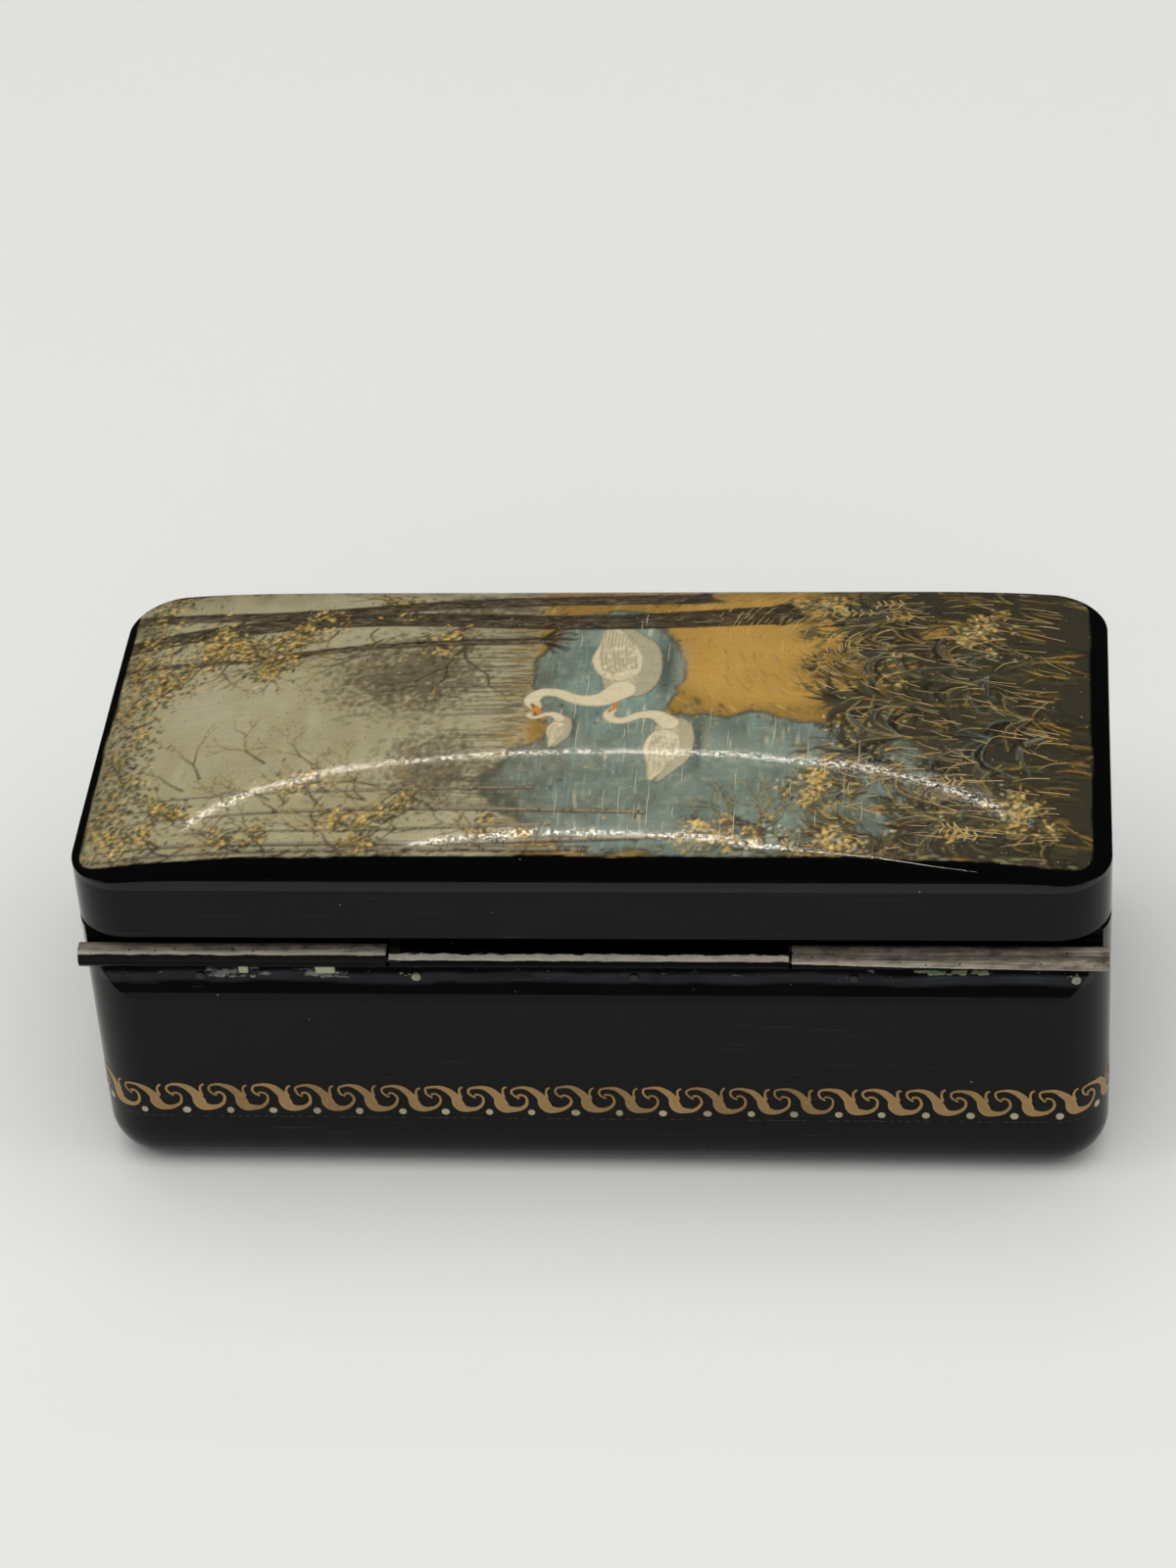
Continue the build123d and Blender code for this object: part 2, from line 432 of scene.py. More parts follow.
def toned(colour, share):
    """Colour with all its parts multiplied."""
    return tuple(value * share for value in colour)


def flow(points, steps):
    """Smooth curve through rows of numbers, with a few steps from each row to the next."""
    rows = np.asarray(points, dtype=float)
    padded = np.vstack([2 * rows[0] - rows[1], rows, 2 * rows[-1] - rows[-2]])
    result = []
    for index in range(len(rows) - 1):
        a, b, c, d = padded[index:index + 4]
        for t in np.arange(steps) / steps:
            bend = (2 * a - 5 * b + 4 * c - d) * t**2 + (3 * b - a - 3 * c + d) * t**3
            result.append(0.5 * (2 * b + (c - a) * t + bend))
    result.append(rows[-1])
    return np.array(result)


def brush_mark(piece, line, lay, lift, sink, columns=4, **values):
    """Closed flat stroke. Each row of its line is two flat places and a half width."""
    line = np.asarray(line)
    along = np.gradient(line[:, :2], axis=0)
    along /= np.maximum(np.linalg.norm(along, axis=1, keepdims=True), 1e-12)
    side = np.stack([-along[:, 1], along[:, 0]], axis=1)
    shares = np.linspace(-1.0, 1.0, columns + 1)
    flat = line[:, None, :2] + side[:, None, :] * (line[:, 2:3] * shares)[:, :, None]
    rows = len(line)
    width = columns + 1
    top = lay(flat.reshape(-1, 2), lift)
    low = lay(flat[:, [0, -1]].reshape(-1, 2), sink)
    faces = []
    base = rows * width
    for row in range(rows - 1):
        here = row * width
        there = here + width
        under = base + 2 * row
        for column in range(columns):
            faces.append((here + column, here + column + 1, there + column + 1, there + column))
        faces.append((under, here, there, under + 2))
        faces.append((here + columns, under + 1, under + 3, there + columns))
        faces.append((under + 1, under, under + 2, under + 3))
    for row in (0, rows - 1):
        ring = [row * width + column for column in range(width)]
        faces.append((*ring, base + 2 * row + 1, base + 2 * row))
    across = np.concatenate([np.tile(shares, rows), np.tile([-1.0, 1.0], rows)])
    piece.add(np.concatenate([top, low]), faces, across=across, **values)


def round_the_wall(places, lift):
    """Places along and up the wall, laid on its outside, to the right as seen from there."""
    straight_x = half_length - corner_radius
    straight_y = half_width - corner_radius
    arc = corner_radius * math.pi / 2
    half_round = 2 * straight_x + 2 * straight_y + 2 * arc
    turns = np.floor(places[:, 0] / half_round)
    s = places[:, 0] - turns * half_round
    x = np.zeros(len(s))
    y = np.zeros(len(s))
    reach = corner_radius + lift
    ends = np.cumsum([straight_x, arc, 2 * straight_y, arc, straight_x])
    stretch = np.searchsorted(ends, s)
    first = stretch == 0
    x[first] = -s[first]
    y[first] = half_width + lift
    for which, start_angle, centre_y in ((1, 90.0, straight_y), (3, 180.0, -straight_y)):
        on = stretch == which
        angle = math.radians(start_angle) + (s[on] - ends[which - 1]) / corner_radius
        x[on] = -straight_x + reach * np.cos(angle)
        y[on] = centre_y + reach * np.sin(angle)
    end_wall = stretch == 2
    x[end_wall] = -half_length - lift
    y[end_wall] = straight_y - (s[end_wall] - ends[1])
    last = stretch >= 4
    x[last] = -straight_x + (s[last] - ends[3])
    y[last] = -half_width - lift
    sign = np.where(turns % 2 == 0, 1.0, -1.0)
    return np.stack([x * sign, y * sign, places[:, 1]], axis=1)


def edge_distance(x, y):
    """How far inside the lid's outline a place lies."""
    past_x = np.abs(x) - (half_length - corner_radius)
    past_y = np.abs(y) - (half_width - corner_radius)
    in_corner = (past_x > 0) & (past_y > 0)
    corner = corner_radius - np.hypot(past_x, past_y)
    side = corner_radius - np.maximum(past_x, past_y)
    return np.maximum(np.where(in_corner, corner, side), 0.0)


def lid_height(x, y):
    """Height of the lid's outside over a place: shoulder, bevel and dome blended together."""
    slope_angle = math.atan(bevel_slope)
    tangent = shoulder_radius / math.tan((math.pi / 2 + slope_angle) / 2)
    centre_z = bevel_z - tangent
    inset = edge_distance(x, y)
    round_end = shoulder_radius * (1 - math.sin(slope_angle))
    on_round = np.minimum(inset, round_end)
    round_z = centre_z + np.sqrt(shoulder_radius**2 - (shoulder_radius - on_round) ** 2)
    shoulder = np.where(inset < round_end, round_z, bevel_z + inset * bevel_slope)
    crown_rise = crown_z - paint_room - dome_edge_z
    along = np.abs(x) / half_length
    rise = dome_end_rise + (crown_rise - dome_end_rise) * (1 - along**2)
    dome = dome_edge_z + rise * (1 - (y / half_width) ** 2) - corner_fall * along**corner_fall_power
    near = np.maximum(blend_width - np.abs(shoulder - dome), 0.0) / blend_width
    return np.minimum(shoulder, dome) - near**2 * blend_width / 4


def on_the_lid(places, lift):
    """Places on the lid's top, given by their X and Y, raised off it."""
    x = places[:, 0]
    y = places[:, 1]
    return np.stack([x, y, lid_height(x, y) + lift], axis=1)


def on_the_picture(places, lift):
    """Places in the upright picture, to its right and up, laid on the lid."""
    return on_the_lid(np.stack([places[:, 1], -places[:, 0]], axis=1), lift)


class Canvas:
    """Sheet of linear colours that is painted on with soft dabs and strokes, in millimetres."""

    scale = 8

    def __init__(self, half_wide, half_tall, seed):
        self.half_wide = half_wide
        self.half_tall = half_tall
        self.rows = int(2 * half_tall * self.scale)
        self.columns = int(2 * half_wide * self.scale)
        self.u = (np.arange(self.columns) + 0.5) / self.scale - half_wide
        self.v = half_tall - (np.arange(self.rows) + 0.5) / self.scale
        self.rgb = np.zeros((self.rows, self.columns, 3))
        self.random = np.random.default_rng(seed)

    def cloud(self, size):
        """Smooth noise from 0 to 1 over the sheet, with features of a size."""
        cell = size * self.scale
        tall = self.random.random((int(self.rows / cell) + 3, int(self.columns / cell) + 3))
        row = np.arange(self.rows) / cell
        column = np.arange(self.columns) / cell
        row_at = row.astype(int)
        column_at = column.astype(int)
        down = (row - row_at)[:, None]
        down = down * down * (3 - 2 * down)
        right = (column - column_at)[None, :]
        right = right * right * (3 - 2 * right)
        upper = tall[np.ix_(row_at, column_at)] * (1 - right)
        upper += tall[np.ix_(row_at, column_at + 1)] * right
        lower = tall[np.ix_(row_at + 1, column_at)] * (1 - right)
        lower += tall[np.ix_(row_at + 1, column_at + 1)] * right
        return upper * (1 - down) + lower * down

    def wash(self, mask, colour):
        """Tints the sheet with a colour by a mask."""
        self.rgb += (np.asarray(colour) - self.rgb) * np.clip(mask, 0.0, 1.0)[..., None]

    def vary(self, colour, amount=0.18):
        """Colour made a little lighter or darker, and a little warmer or cooler."""
        light = 1.0 + self.random.normal(0.0, amount)
        tilt = self.random.normal(0.0, amount * 0.3)
        return np.clip(np.asarray(colour) * light * (1 + tilt, 1.0, 1 - tilt), 0.0, 1.0)

    def window(self, low_u, high_u, low_v, high_v):
        """Rows and columns of the sheet that hold an oblong."""
        left = max(int((low_u + self.half_wide) * self.scale), 0)
        right = min(int((high_u + self.half_wide) * self.scale) + 2, self.columns)
        upper = max(int((self.half_tall - high_v) * self.scale), 0)
        lower = min(int((self.half_tall - low_v) * self.scale) + 2, self.rows)
        return slice(upper, lower), slice(left, right)

    def lay(self, rows, columns, mask, colour):
        """Tints part of the sheet by a mask."""
        part = self.rgb[rows, columns]
        part += (np.asarray(colour) - part) * mask[..., None]

    def dab(self, u, v, long, wide, turn, colour, strength=0.8, soft=0.4):
        """One oval touch of the brush."""
        reach = max(long, wide)
        rows, columns = self.window(u - reach, u + reach, v - reach, v + reach)
        across = self.u[columns][None, :] - u
        up = self.v[rows][:, None] - v
        cos = math.cos(turn)
        sin = math.sin(turn)
        oval = np.hypot((across * cos + up * sin) / long, (up * cos - across * sin) / wide)
        self.lay(rows, columns, np.clip((1 - oval) / soft, 0, 1) * strength, colour)

    def stroke(self, line, colour, strength=0.9, soft=0.12):
        """One stroke of the brush along rows of u, v and half width."""
        line = np.asarray(line, dtype=float)
        reach = line[:, 2].max() + soft
        low = line[:, :2].min(axis=0) - reach
        high = line[:, :2].max(axis=0) + reach
        rows, columns = self.window(low[0], high[0], low[1], high[1])
        across = self.u[columns][None, :]
        up = self.v[rows][:, None]
        mask = np.zeros((up.shape[0], across.shape[1]))
        for (u, v, half), (next_u, next_v, next_half) in zip(line[:-1], line[1:]):
            run = max((next_u - u) ** 2 + (next_v - v) ** 2, 1e-9)
            share = ((across - u) * (next_u - u) + (up - v) * (next_v - v)) / run
            share = np.clip(share, 0, 1)
            gap = np.hypot(across - u - share * (next_u - u), up - v - share * (next_v - v))
            edge = half + (next_half - half) * share
            mask = np.maximum(mask, np.clip((edge - gap) / soft + 0.5, 0, 1))
        self.lay(rows, columns, mask * strength, colour)

    def fill(self, outline, colour, edge):
        """Closed shape filled with a colour and drawn round with a fine edge."""
        ring = flow(np.vstack([outline, outline[:1]]), 4)
        low = ring.min(axis=0)
        high = ring.max(axis=0)
        rows, columns = self.window(low[0], high[0], low[1], high[1])
        across = self.u[columns][None, :]
        up = self.v[rows][:, None]
        inside = np.zeros((up.shape[0], across.shape[1]), dtype=bool)
        for (u, v), (next_u, next_v) in zip(ring[:-1], ring[1:]):
            if v != next_v:
                crossing = u + (up - v) / (next_v - v) * (next_u - u)
                inside ^= ((v > up) != (next_v > up)) & (across < crossing)
        self.lay(rows, columns, inside.astype(float), colour)
        self.stroke(np.column_stack([ring, np.full(len(ring), 0.07)]), edge, 0.7)

    def read(self, u, v):
        """Colours at places on the sheet."""
        column = np.clip((u + self.half_wide) * self.scale - 0.5, 0, self.columns - 1.001)
        row = np.clip((self.half_tall - v) * self.scale - 0.5, 0, self.rows - 1.001)
        column_at = column.astype(int)
        row_at = row.astype(int)
        right = (column - column_at)[:, None]
        down = (row - row_at)[:, None]
        upper = self.rgb[row_at, column_at] * (1 - right) + self.rgb[row_at, column_at + 1] * right
        lower = self.rgb[row_at + 1, column_at] * (1 - right)
        lower += self.rgb[row_at + 1, column_at + 1] * right
        return upper * (1 - down) + lower * down


def fall(values, start, end):
    """0 at start, 1 at end and smooth between."""
    share = np.clip((values - start) / (end - start), 0.0, 1.0)
    return share * share * (3 - 2 * share)


# Ovals of the picture: middle across and up, half width and half height
lake_reach = (-12.5, -13.0, 12.0, 25.0)
lake_pool = (6.0, -0.5, 13.0, 8.6)
pale_pool = (6.0, -1.0, 15.0, 10.0)
ochre_bank = (12.0, -17.0, 13.0, 13.0)
# Place that the bank's hatching turns round
bank_foot = (12.0, -30.0)
# How far the paint reaches to each side, a little past the lid
paint_reach = 25
# Direction of a stem that grows straight up
upright = 1.57


def from_middle(u, v, oval):
    """0 in the middle of an oval and 1 on its edge."""
    middle_u, middle_v, half_wide, half_tall = oval
    return np.hypot((u - middle_u) / half_wide, (v - middle_v) / half_tall)


def from_lake(u, v):
    """0 in the middle of either oval of the lake and 1 on its shore."""
    return np.minimum(from_middle(u, v, lake_reach), from_middle(u, v, lake_pool))


def away(u, v, angle, long):
    """Place at a distance from another, in a direction."""
    return u + math.cos(angle) * long, v + math.sin(angle) * long


def paint_sky(canvas, colours):
    """Sage sky with pale drifts, down to the far shore."""
    random = canvas.random
    canvas.rgb[:] = colours.sky
    drift = canvas.cloud(14.0) * 0.6 + canvas.cloud(5.0) * 0.4
    canvas.wash((drift - 0.45) * 1.6, colours.mist)
    canvas.wash((0.5 - drift) * 0.8, colours.sky * 0.8)
    for _ in range(240):
        u = random.uniform(-paint_reach, paint_reach)
        v = random.uniform(12, 52)
        base = colours.mist if random.random() < 0.5 else colours.sky
        long = random.uniform(2, 6)
        wide = random.uniform(0.5, 1.4)
        turn = random.normal(0, 0.12)
        canvas.dab(u, v, long, wide, turn, canvas.vary(base, 0.07), 0.35, 0.9)


def paint_misty_wood(canvas, colours, u, v, wide, tall, count):
    """Far wood seen through mist: stippled leaves that thin out upward, and bare stems below."""
    random = canvas.random
    for _ in range(count):
        at_u = u + wide * random.normal(0, 0.42)
        at_v = v + tall * random.normal(0, 0.36)
        out = math.hypot((at_u - u) / wide, (at_v - v) / tall)
        if out > 1.0:
            continue
        size = random.uniform(0.16, 0.52)
        dark = canvas.vary(colours.wood * random.uniform(0.45, 1.25), 0.12)
        canvas.dab(at_u, at_v, size * 1.3, size * 0.8, random.uniform(0, 3.1), dark, 0.75 - 0.4 * out, 0.6)
    for _ in range(int(wide * 5)):
        at_u = u + random.uniform(-0.8, 0.8) * wide
        foot = v - tall * 0.95 + random.normal(0, 0.6)
        rise = random.uniform(0.5, 1.1) * tall
        lean = random.normal(0, 0.5)
        middle = (at_u + lean * 0.4, foot + rise * 0.5, 0.07)
        line = flow([(at_u, foot, 0.09), middle, (at_u + lean, foot + rise, 0.03)], 3)
        canvas.stroke(line, canvas.vary(colours.wood * 0.5, 0.15), 0.6)


def paint_reeds(canvas, colours):
    """Reeds where the far woods meet the water."""
    random = canvas.random
    for _ in range(420):
        u = random.uniform(-paint_reach, paint_reach)
        v = 8.0 + random.normal(0, 0.9)
        tall = random.uniform(0.8, 3.6)
        base = colours.wood if random.random() < 0.7 else colours.gold
        line = blade(random, u, v, tall, random.normal(0, 0.35), 0.09)
        canvas.stroke(line, canvas.vary(base * 0.6, 0.2), 0.75)


def paint_ground(canvas, colours):
    """Ochre bank with gold hatching that follows its round back, and dark earth below."""
    random = canvas.random
    u, v = np.meshgrid(canvas.u, canvas.v)
    lumps = canvas.cloud(4.0)
    canvas.wash(1 - fall(v, 6.5, 8.5), colours.ochre * 0.62)
    bank = 1 - fall(from_middle(u, v, ochre_bank) + (lumps - 0.5) * 0.2, 0.8, 1.1)
    canvas.wash(bank, colours.ochre * (0.80 + 0.25 * lumps[..., None]))
    canvas.wash(1 - fall(v + (lumps - 0.5) * 12, -34.0, -23.0), colours.earth)
    for _ in range(1500):
        at_u = random.uniform(-paint_reach, paint_reach)
        at_v = random.uniform(-32, 8)
        turn = math.atan2(at_v - bank_foot[1], at_u - bank_foot[0]) + math.pi / 2 + random.normal(0, 0.12)
        pick = random.random()
        if from_middle(at_u, at_v, ochre_bank) < 0.95:
            base = colours.ochre if pick < 0.5 else colours.gold if pick < 0.8 else colours.bark
            canvas.dab(at_u, at_v, random.uniform(0.6, 1.8), 0.12, turn, canvas.vary(base, 0.15), 0.5, 0.7)
        else:
            base = colours.olive if pick < 0.5 else colours.earth if pick < 0.75 else colours.gold
            canvas.dab(at_u, at_v, random.uniform(0.3, 1.2), 0.25, turn, canvas.vary(base, 0.2), 0.6, 0.6)


def paint_lake(canvas, colours):
    """Teal water with the mirrored wood, a dark shore, floating leaves and ripples."""
    random = canvas.random
    u = canvas.u[None, :]
    v = canvas.v[:, None]
    ragged = (canvas.cloud(4.0) - 0.5) * 0.16 + (canvas.cloud(1.2) - 0.5) * 0.07
    mask = 1 - fall(from_lake(u, v) + ragged, 0.90, 1.0)
    canvas.wash(mask, colours.water)
    pool = 1 - fall(from_middle(u, v, pale_pool), 0.35, 1.0)
    canvas.wash(mask * pool * 0.8, colours.turquoise)
    streaks = canvas.cloud(1.1) * 0.6 + canvas.cloud(3.0) * 0.4
    canvas.wash(mask * fall(v, -1.5, 7.0) * 0.85 * streaks, colours.wood * 0.7)
    canvas.wash(mask * (1 - fall(v, -36.0, -18.0)) * 0.55, colours.water * 0.45)
    canvas.wash(np.clip(4.0 * mask * (1 - mask), 0, 1) * 0.7, colours.earth)
    canvas.wash(mask * (canvas.cloud(2.4) - 0.35) * 0.9, colours.water * 0.5)
    canvas.wash(mask * (canvas.cloud(0.7) - 0.6) * 0.9, colours.mist)
    for _ in range(420):
        at_u = random.uniform(-25, 20)
        at_v = random.uniform(-38, 8)
        if random.random() < 1.1 - abs(from_lake(at_u, at_v) - 0.86) * 3.2:
            base = colours.earth if random.random() < 0.75 else colours.gold
            size = random.uniform(0.12, 0.34)
            turn = random.uniform(0, 3.1)
            canvas.dab(at_u, at_v, size * 1.3, size * 0.8, turn, canvas.vary(base, 0.2), 0.8, 0.5)
    before = canvas.rgb.copy()
    for _ in range(1100):
        at_u = random.uniform(-23, 20)
        at_v = random.uniform(-37, 8)
        pick = random.random()
        base = colours.cream if pick < 0.10 else colours.turquoise if pick < 0.5 else colours.water
        shade = 1.0 if pick < 0.75 else 0.55
        long = random.uniform(0.5, 2.4)
        wide = random.uniform(0.10, 0.26)
        turn = random.normal(0, 0.05)
        canvas.dab(at_u, at_v, long, wide, turn, canvas.vary(base * shade, 0.14), 0.5, 0.6)
    canvas.rgb = before + (canvas.rgb - before) * mask[..., None]


def paint_leaves(canvas, colours, line, count, spread):
    """Loose leaves along a bough: dark ones beneath, olive and gold ones over them."""
    random = canvas.random
    layers = ((colours.earth, 1.0, 0.8), (colours.olive, 0.9, 0.85), (colours.gold, 0.45, 0.9))
    for layer, (base, share, strength) in enumerate(layers):
        for _ in range(int(count * share)):
            at = line[random.integers(len(line))]
            u = at[0] + random.normal(0, spread) + 0.12 * layer
            v = at[1] + random.normal(0, spread * 0.8) - abs(random.normal(0, spread * 0.4)) + 0.15 * layer
            size = random.uniform(0.14, 0.34)
            turn = random.uniform(0, 3.1)
            colour = canvas.vary(base * (0.8 + 0.15 * layer), 0.25)
            canvas.dab(u, v, size * 1.5, size * 0.7, turn, colour, strength, 0.5)


def paint_twig(canvas, colours, u, v, angle, long, half, forks):
    """Bare twig that forks again and again, edged with gold on one side."""
    random = canvas.random
    bend = random.normal(0, 0.25)
    middle = away(u, v, angle, long * 0.5)
    end = away(u, v, angle + bend, long)
    line = flow([(u, v, half), (*middle, half * 0.8), (*end, half * 0.55)], 3)
    canvas.stroke(line, canvas.vary(colours.bark * 0.7, 0.15), 0.9)
    if half < 0.16 and random.random() < 0.45:
        glint = line - (0.0, -0.09, 0.0)
        glint[:, 2] = 0.05
        canvas.stroke(glint, colours.gold, 0.6)
    if forks == 0:
        return
    for side in (-1, 1):
        if random.random() < 0.88:
            turn = angle + bend + side * random.uniform(0.15, 0.6)
            paint_twig(canvas, colours, *end, turn, long * random.uniform(0.6, 0.85), half * 0.62, forks - 1)


def paint_tree(canvas, colours, rows, boughs):
    """Old tree: a dark, furrowed, mottled trunk with heavy boughs that end in twigs and leaves."""
    random = canvas.random
    line = flow(rows, 8)
    bark = colours.bark
    foot_u, foot_v, foot_half = rows[0]
    canvas.stroke(line, bark * 0.45, 0.95, 0.25)
    for _ in range(7):
        angle = random.normal(0, 0.75) - upright
        root = (foot_u + foot_half * random.uniform(-0.7, 0.7), foot_v + 1.0)
        end = away(*root, angle, 3.4)
        canvas.stroke(flow([(*root, foot_half * 0.5), (*end, 0.1)], 4), bark * 0.45, 0.9, 0.25)
    for _ in range(int(len(line) * 34)):
        at = line[random.integers(len(line))]
        across = random.uniform(-0.9, 0.9)
        lit = 0.55 + 0.5 * (across < 0.35) * (across > -0.75)
        pick = random.random()
        base = bark * 1.5 if pick < 0.45 else colours.wood * 1.2 if pick < 0.7 else bark * 0.45
        v = at[1] + random.normal(0, 1.6)
        long = random.uniform(0.3, 1.3)
        wide = random.uniform(0.07, 0.2)
        turn = upright + random.normal(0, 0.2)
        canvas.dab(at[0] + across * at[2], v, long, wide, turn, canvas.vary(base * lit, 0.2), 0.75, 0.6)
    for share, angle, long, half in boughs:
        u, v, _ = line[int(share * (len(line) - 1))]
        paint_twig(canvas, colours, u, v, angle, long, half, 4)
        reach = away(u, v, angle, long * 1.4)
        paint_leaves(canvas, colours, flow([(u, v, 0.1), (*reach, 0.1)], 8)[4:], 130, 1.5)


def paint_sapling(canvas, colours, u, foot, top, half):
    """Slender pale tree with dark bark marks, twigs and a few leaves."""
    random = canvas.random
    bend = random.normal(0, 0.7)
    middle = (u + bend, (foot + top) / 2, half * 0.8)
    line = flow([(u, foot, half), middle, (u + bend * 0.4, top, half * 0.4)], 10)
    canvas.stroke(line, colours.bark * 0.6, 0.9)
    inner = line.copy()
    inner[:, 0] += half * 0.25
    inner[:, 2] *= 0.45
    canvas.stroke(inner, colours.cream * 0.45 + colours.wood * 0.3, 0.85, 0.2)
    for _ in range(int((top - foot) * 1.2)):
        at = line[random.integers(len(line))]
        mark_u = at[0] + random.normal(0, half * 0.4)
        mark_v = at[1] + random.normal(0, 1.0)
        canvas.dab(mark_u, mark_v, at[2] * 0.8, 0.12, 0.1, colours.bark * 0.4, 0.8)
    for index in range(9):
        u, v, _ = line[int(len(line) * random.uniform(0.35, 0.98)) - 1]
        angle = upright + (1 if index % 2 else -1) * random.uniform(0.3, 1.0)
        paint_twig(canvas, colours, u, v, angle, random.uniform(1.6, 3.6), half * 0.45, 3)
        if index % 3 == 0:
            paint_leaves(canvas, colours, [away(u, v, angle, 3)], 40, 1.0)


# Outlines and strokes of a swan that faces right, in shares of its size
swan_body = (
    (0.50, 0.06), (0.44, -0.12), (0.26, -0.22), (0.00, -0.24), (-0.28, -0.19), (-0.48, -0.04), (-0.70, 0.18),
    (-0.46, 0.15), (-0.28, 0.27), (-0.02, 0.33), (0.20, 0.27), (0.38, 0.22),
)
swan_wing = (
    (0.26, 0.10), (0.18, 0.27), (-0.06, 0.36), (-0.34, 0.31), (-0.66, 0.26), (-0.44, 0.08), (-0.14, -0.06),
    (0.14, -0.05),
)
swan_neck = (
    (0.38, 0.08, 0.120), (0.52, 0.24, 0.085), (0.52, 0.44, 0.060), (0.43, 0.60, 0.052), (0.42, 0.74, 0.052),
    (0.52, 0.82, 0.066), (0.62, 0.78, 0.050),
)
swan_beak = ((0.63, 0.78, 0.034), (0.78, 0.70, 0.014))
swan_eye = ((0.585, 0.815, 0.016), (0.61, 0.80, 0.016))


def paint_swan(canvas, colours, u, v, size, facing):
    """Swan on the water: mirror image, body, folded wing with feathers, neck, head and beak."""
    random = canvas.random
    cream = colours.cream
    shade = cream * (0.50, 0.52, 0.52)
    dark = colours.bark * 0.5

    def put(points):
        rows = np.array(points, dtype=float)
        rows[:, 0] = u + rows[:, 0] * size * facing
        rows[:, 1] = v + rows[:, 1] * size
        if rows.shape[1] > 2:
            rows[:, 2] *= size
        return rows

    canvas.dab(u, v - 0.27 * size, 0.66 * size, 0.13 * size, 0, colours.water * 0.35, 0.8, 0.7)
    canvas.dab(u, v - 0.40 * size, 0.46 * size, 0.10 * size, 0, shade, 0.5, 0.9)
    canvas.fill(put(swan_body), shade * 1.25, dark)
    canvas.dab(u + 0.12 * size * facing, v + 0.08 * size, 0.34 * size, 0.15 * size, 0, cream, 0.85, 0.7)
    canvas.fill(put(swan_wing), cream, shade * 0.8)
    for share in np.linspace(0.0, 1.0, 9):
        feather = put([
            (0.16 - 0.10 * share, 0.24 - 0.26 * share, 0.012),
            (-0.16 - 0.02 * share, 0.29 - 0.28 * share, 0.010),
            (-0.60 + 0.20 * share, 0.27 - 0.22 * share, 0.006),
        ])
        canvas.stroke(flow(feather, 4), shade * 0.75, 0.75, 0.10)
    for _ in range(70):
        barb = put([(random.uniform(-0.3, 0.2), random.uniform(0.0, 0.26))])[0]
        tone = random.choice((0.7, 1.25))
        canvas.dab(*barb, 0.035 * size, 0.016 * size, 2.9 * facing, cream * tone, 0.6, 0.5)
    neck = flow(put(swan_neck), 5)
    edge = neck.copy()
    edge[:, 2] += 0.10
    canvas.stroke(edge, shade * 0.6, 0.8)
    canvas.stroke(neck, cream * 1.08)
    canvas.stroke(put(swan_beak), colours.ochre * (1.2, 0.7, 0.4))
    canvas.stroke(put(swan_eye), dark)


def paint_shrub(canvas, colours, u, v, wide, tall, count):
    """Shrub: dark twigs fanned from its foot, fine gold leaves and a little blossom."""
    random = canvas.random
    for _ in range(int(count * 0.35)):
        angle = upright + random.normal(0, 0.7)
        at_u = u + random.normal(0, wide * 0.35)
        paint_twig(canvas, colours, at_u, v - tall * 0.8, angle, tall * random.uniform(0.4, 0.7), 0.20, 3)
    spots = [(u + wide * random.normal(0, 0.45), v + tall * random.normal(0, 0.42)) for _ in range(24)]
    paint_leaves(canvas, colours, spots, count * 5, 0.7)
    for _ in range(count):
        at_u, at_v = spots[random.integers(24)]
        pick = random.random()
        base = colours.cream if pick < 0.5 else colours.turquoise if pick < 0.7 else colours.gold
        at_u += random.normal(0, 0.8)
        at_v += random.normal(0, 0.8)
        canvas.dab(at_u, at_v, 0.24, 0.17, random.uniform(0, 3.1), canvas.vary(base, 0.15), 0.85, 0.5)


def blade(random, u, v, tall, lean, half):
    """Line of a grass blade from its foot, bent over at the tip."""
    knee = (u + lean * 0.35 + random.normal(0, 0.08), v + tall * 0.6)
    tip = (u + lean, v + tall)
    return flow([(u, v, half), (*knee, half * 0.8), (*tip, half * 0.15)], 3)


def paint_grass(canvas, colours):
    """Near grass in tufts: dark blades, then olive, grey-green and a few ochre ones."""
    random = canvas.random
    tufts = 260
    for index in range(tufts):
        v = -23.0 - 31.0 * (index / tufts) + random.normal(0, 1.2)
        u = random.uniform(-paint_reach, paint_reach)
        lean = random.normal(0, 1.0)
        near = min(max((-v - 22.0) / 30.0, 0.0), 1.0)
        for _ in range(9):
            pick = random.random()
            base = colours.earth if pick < 0.5 else colours.olive if pick < 0.85 else colours.ochre
            colour = canvas.vary(base * (0.95 - 0.35 * near), 0.25)
            tall = random.uniform(1.4, 3.4) * (0.7 + 0.7 * near)
            foot = u + random.normal(0, 0.5)
            tip = lean + random.normal(0, 0.8)
            canvas.stroke(blade(random, foot, v, tall, tip, 0.12), colour, 0.85)


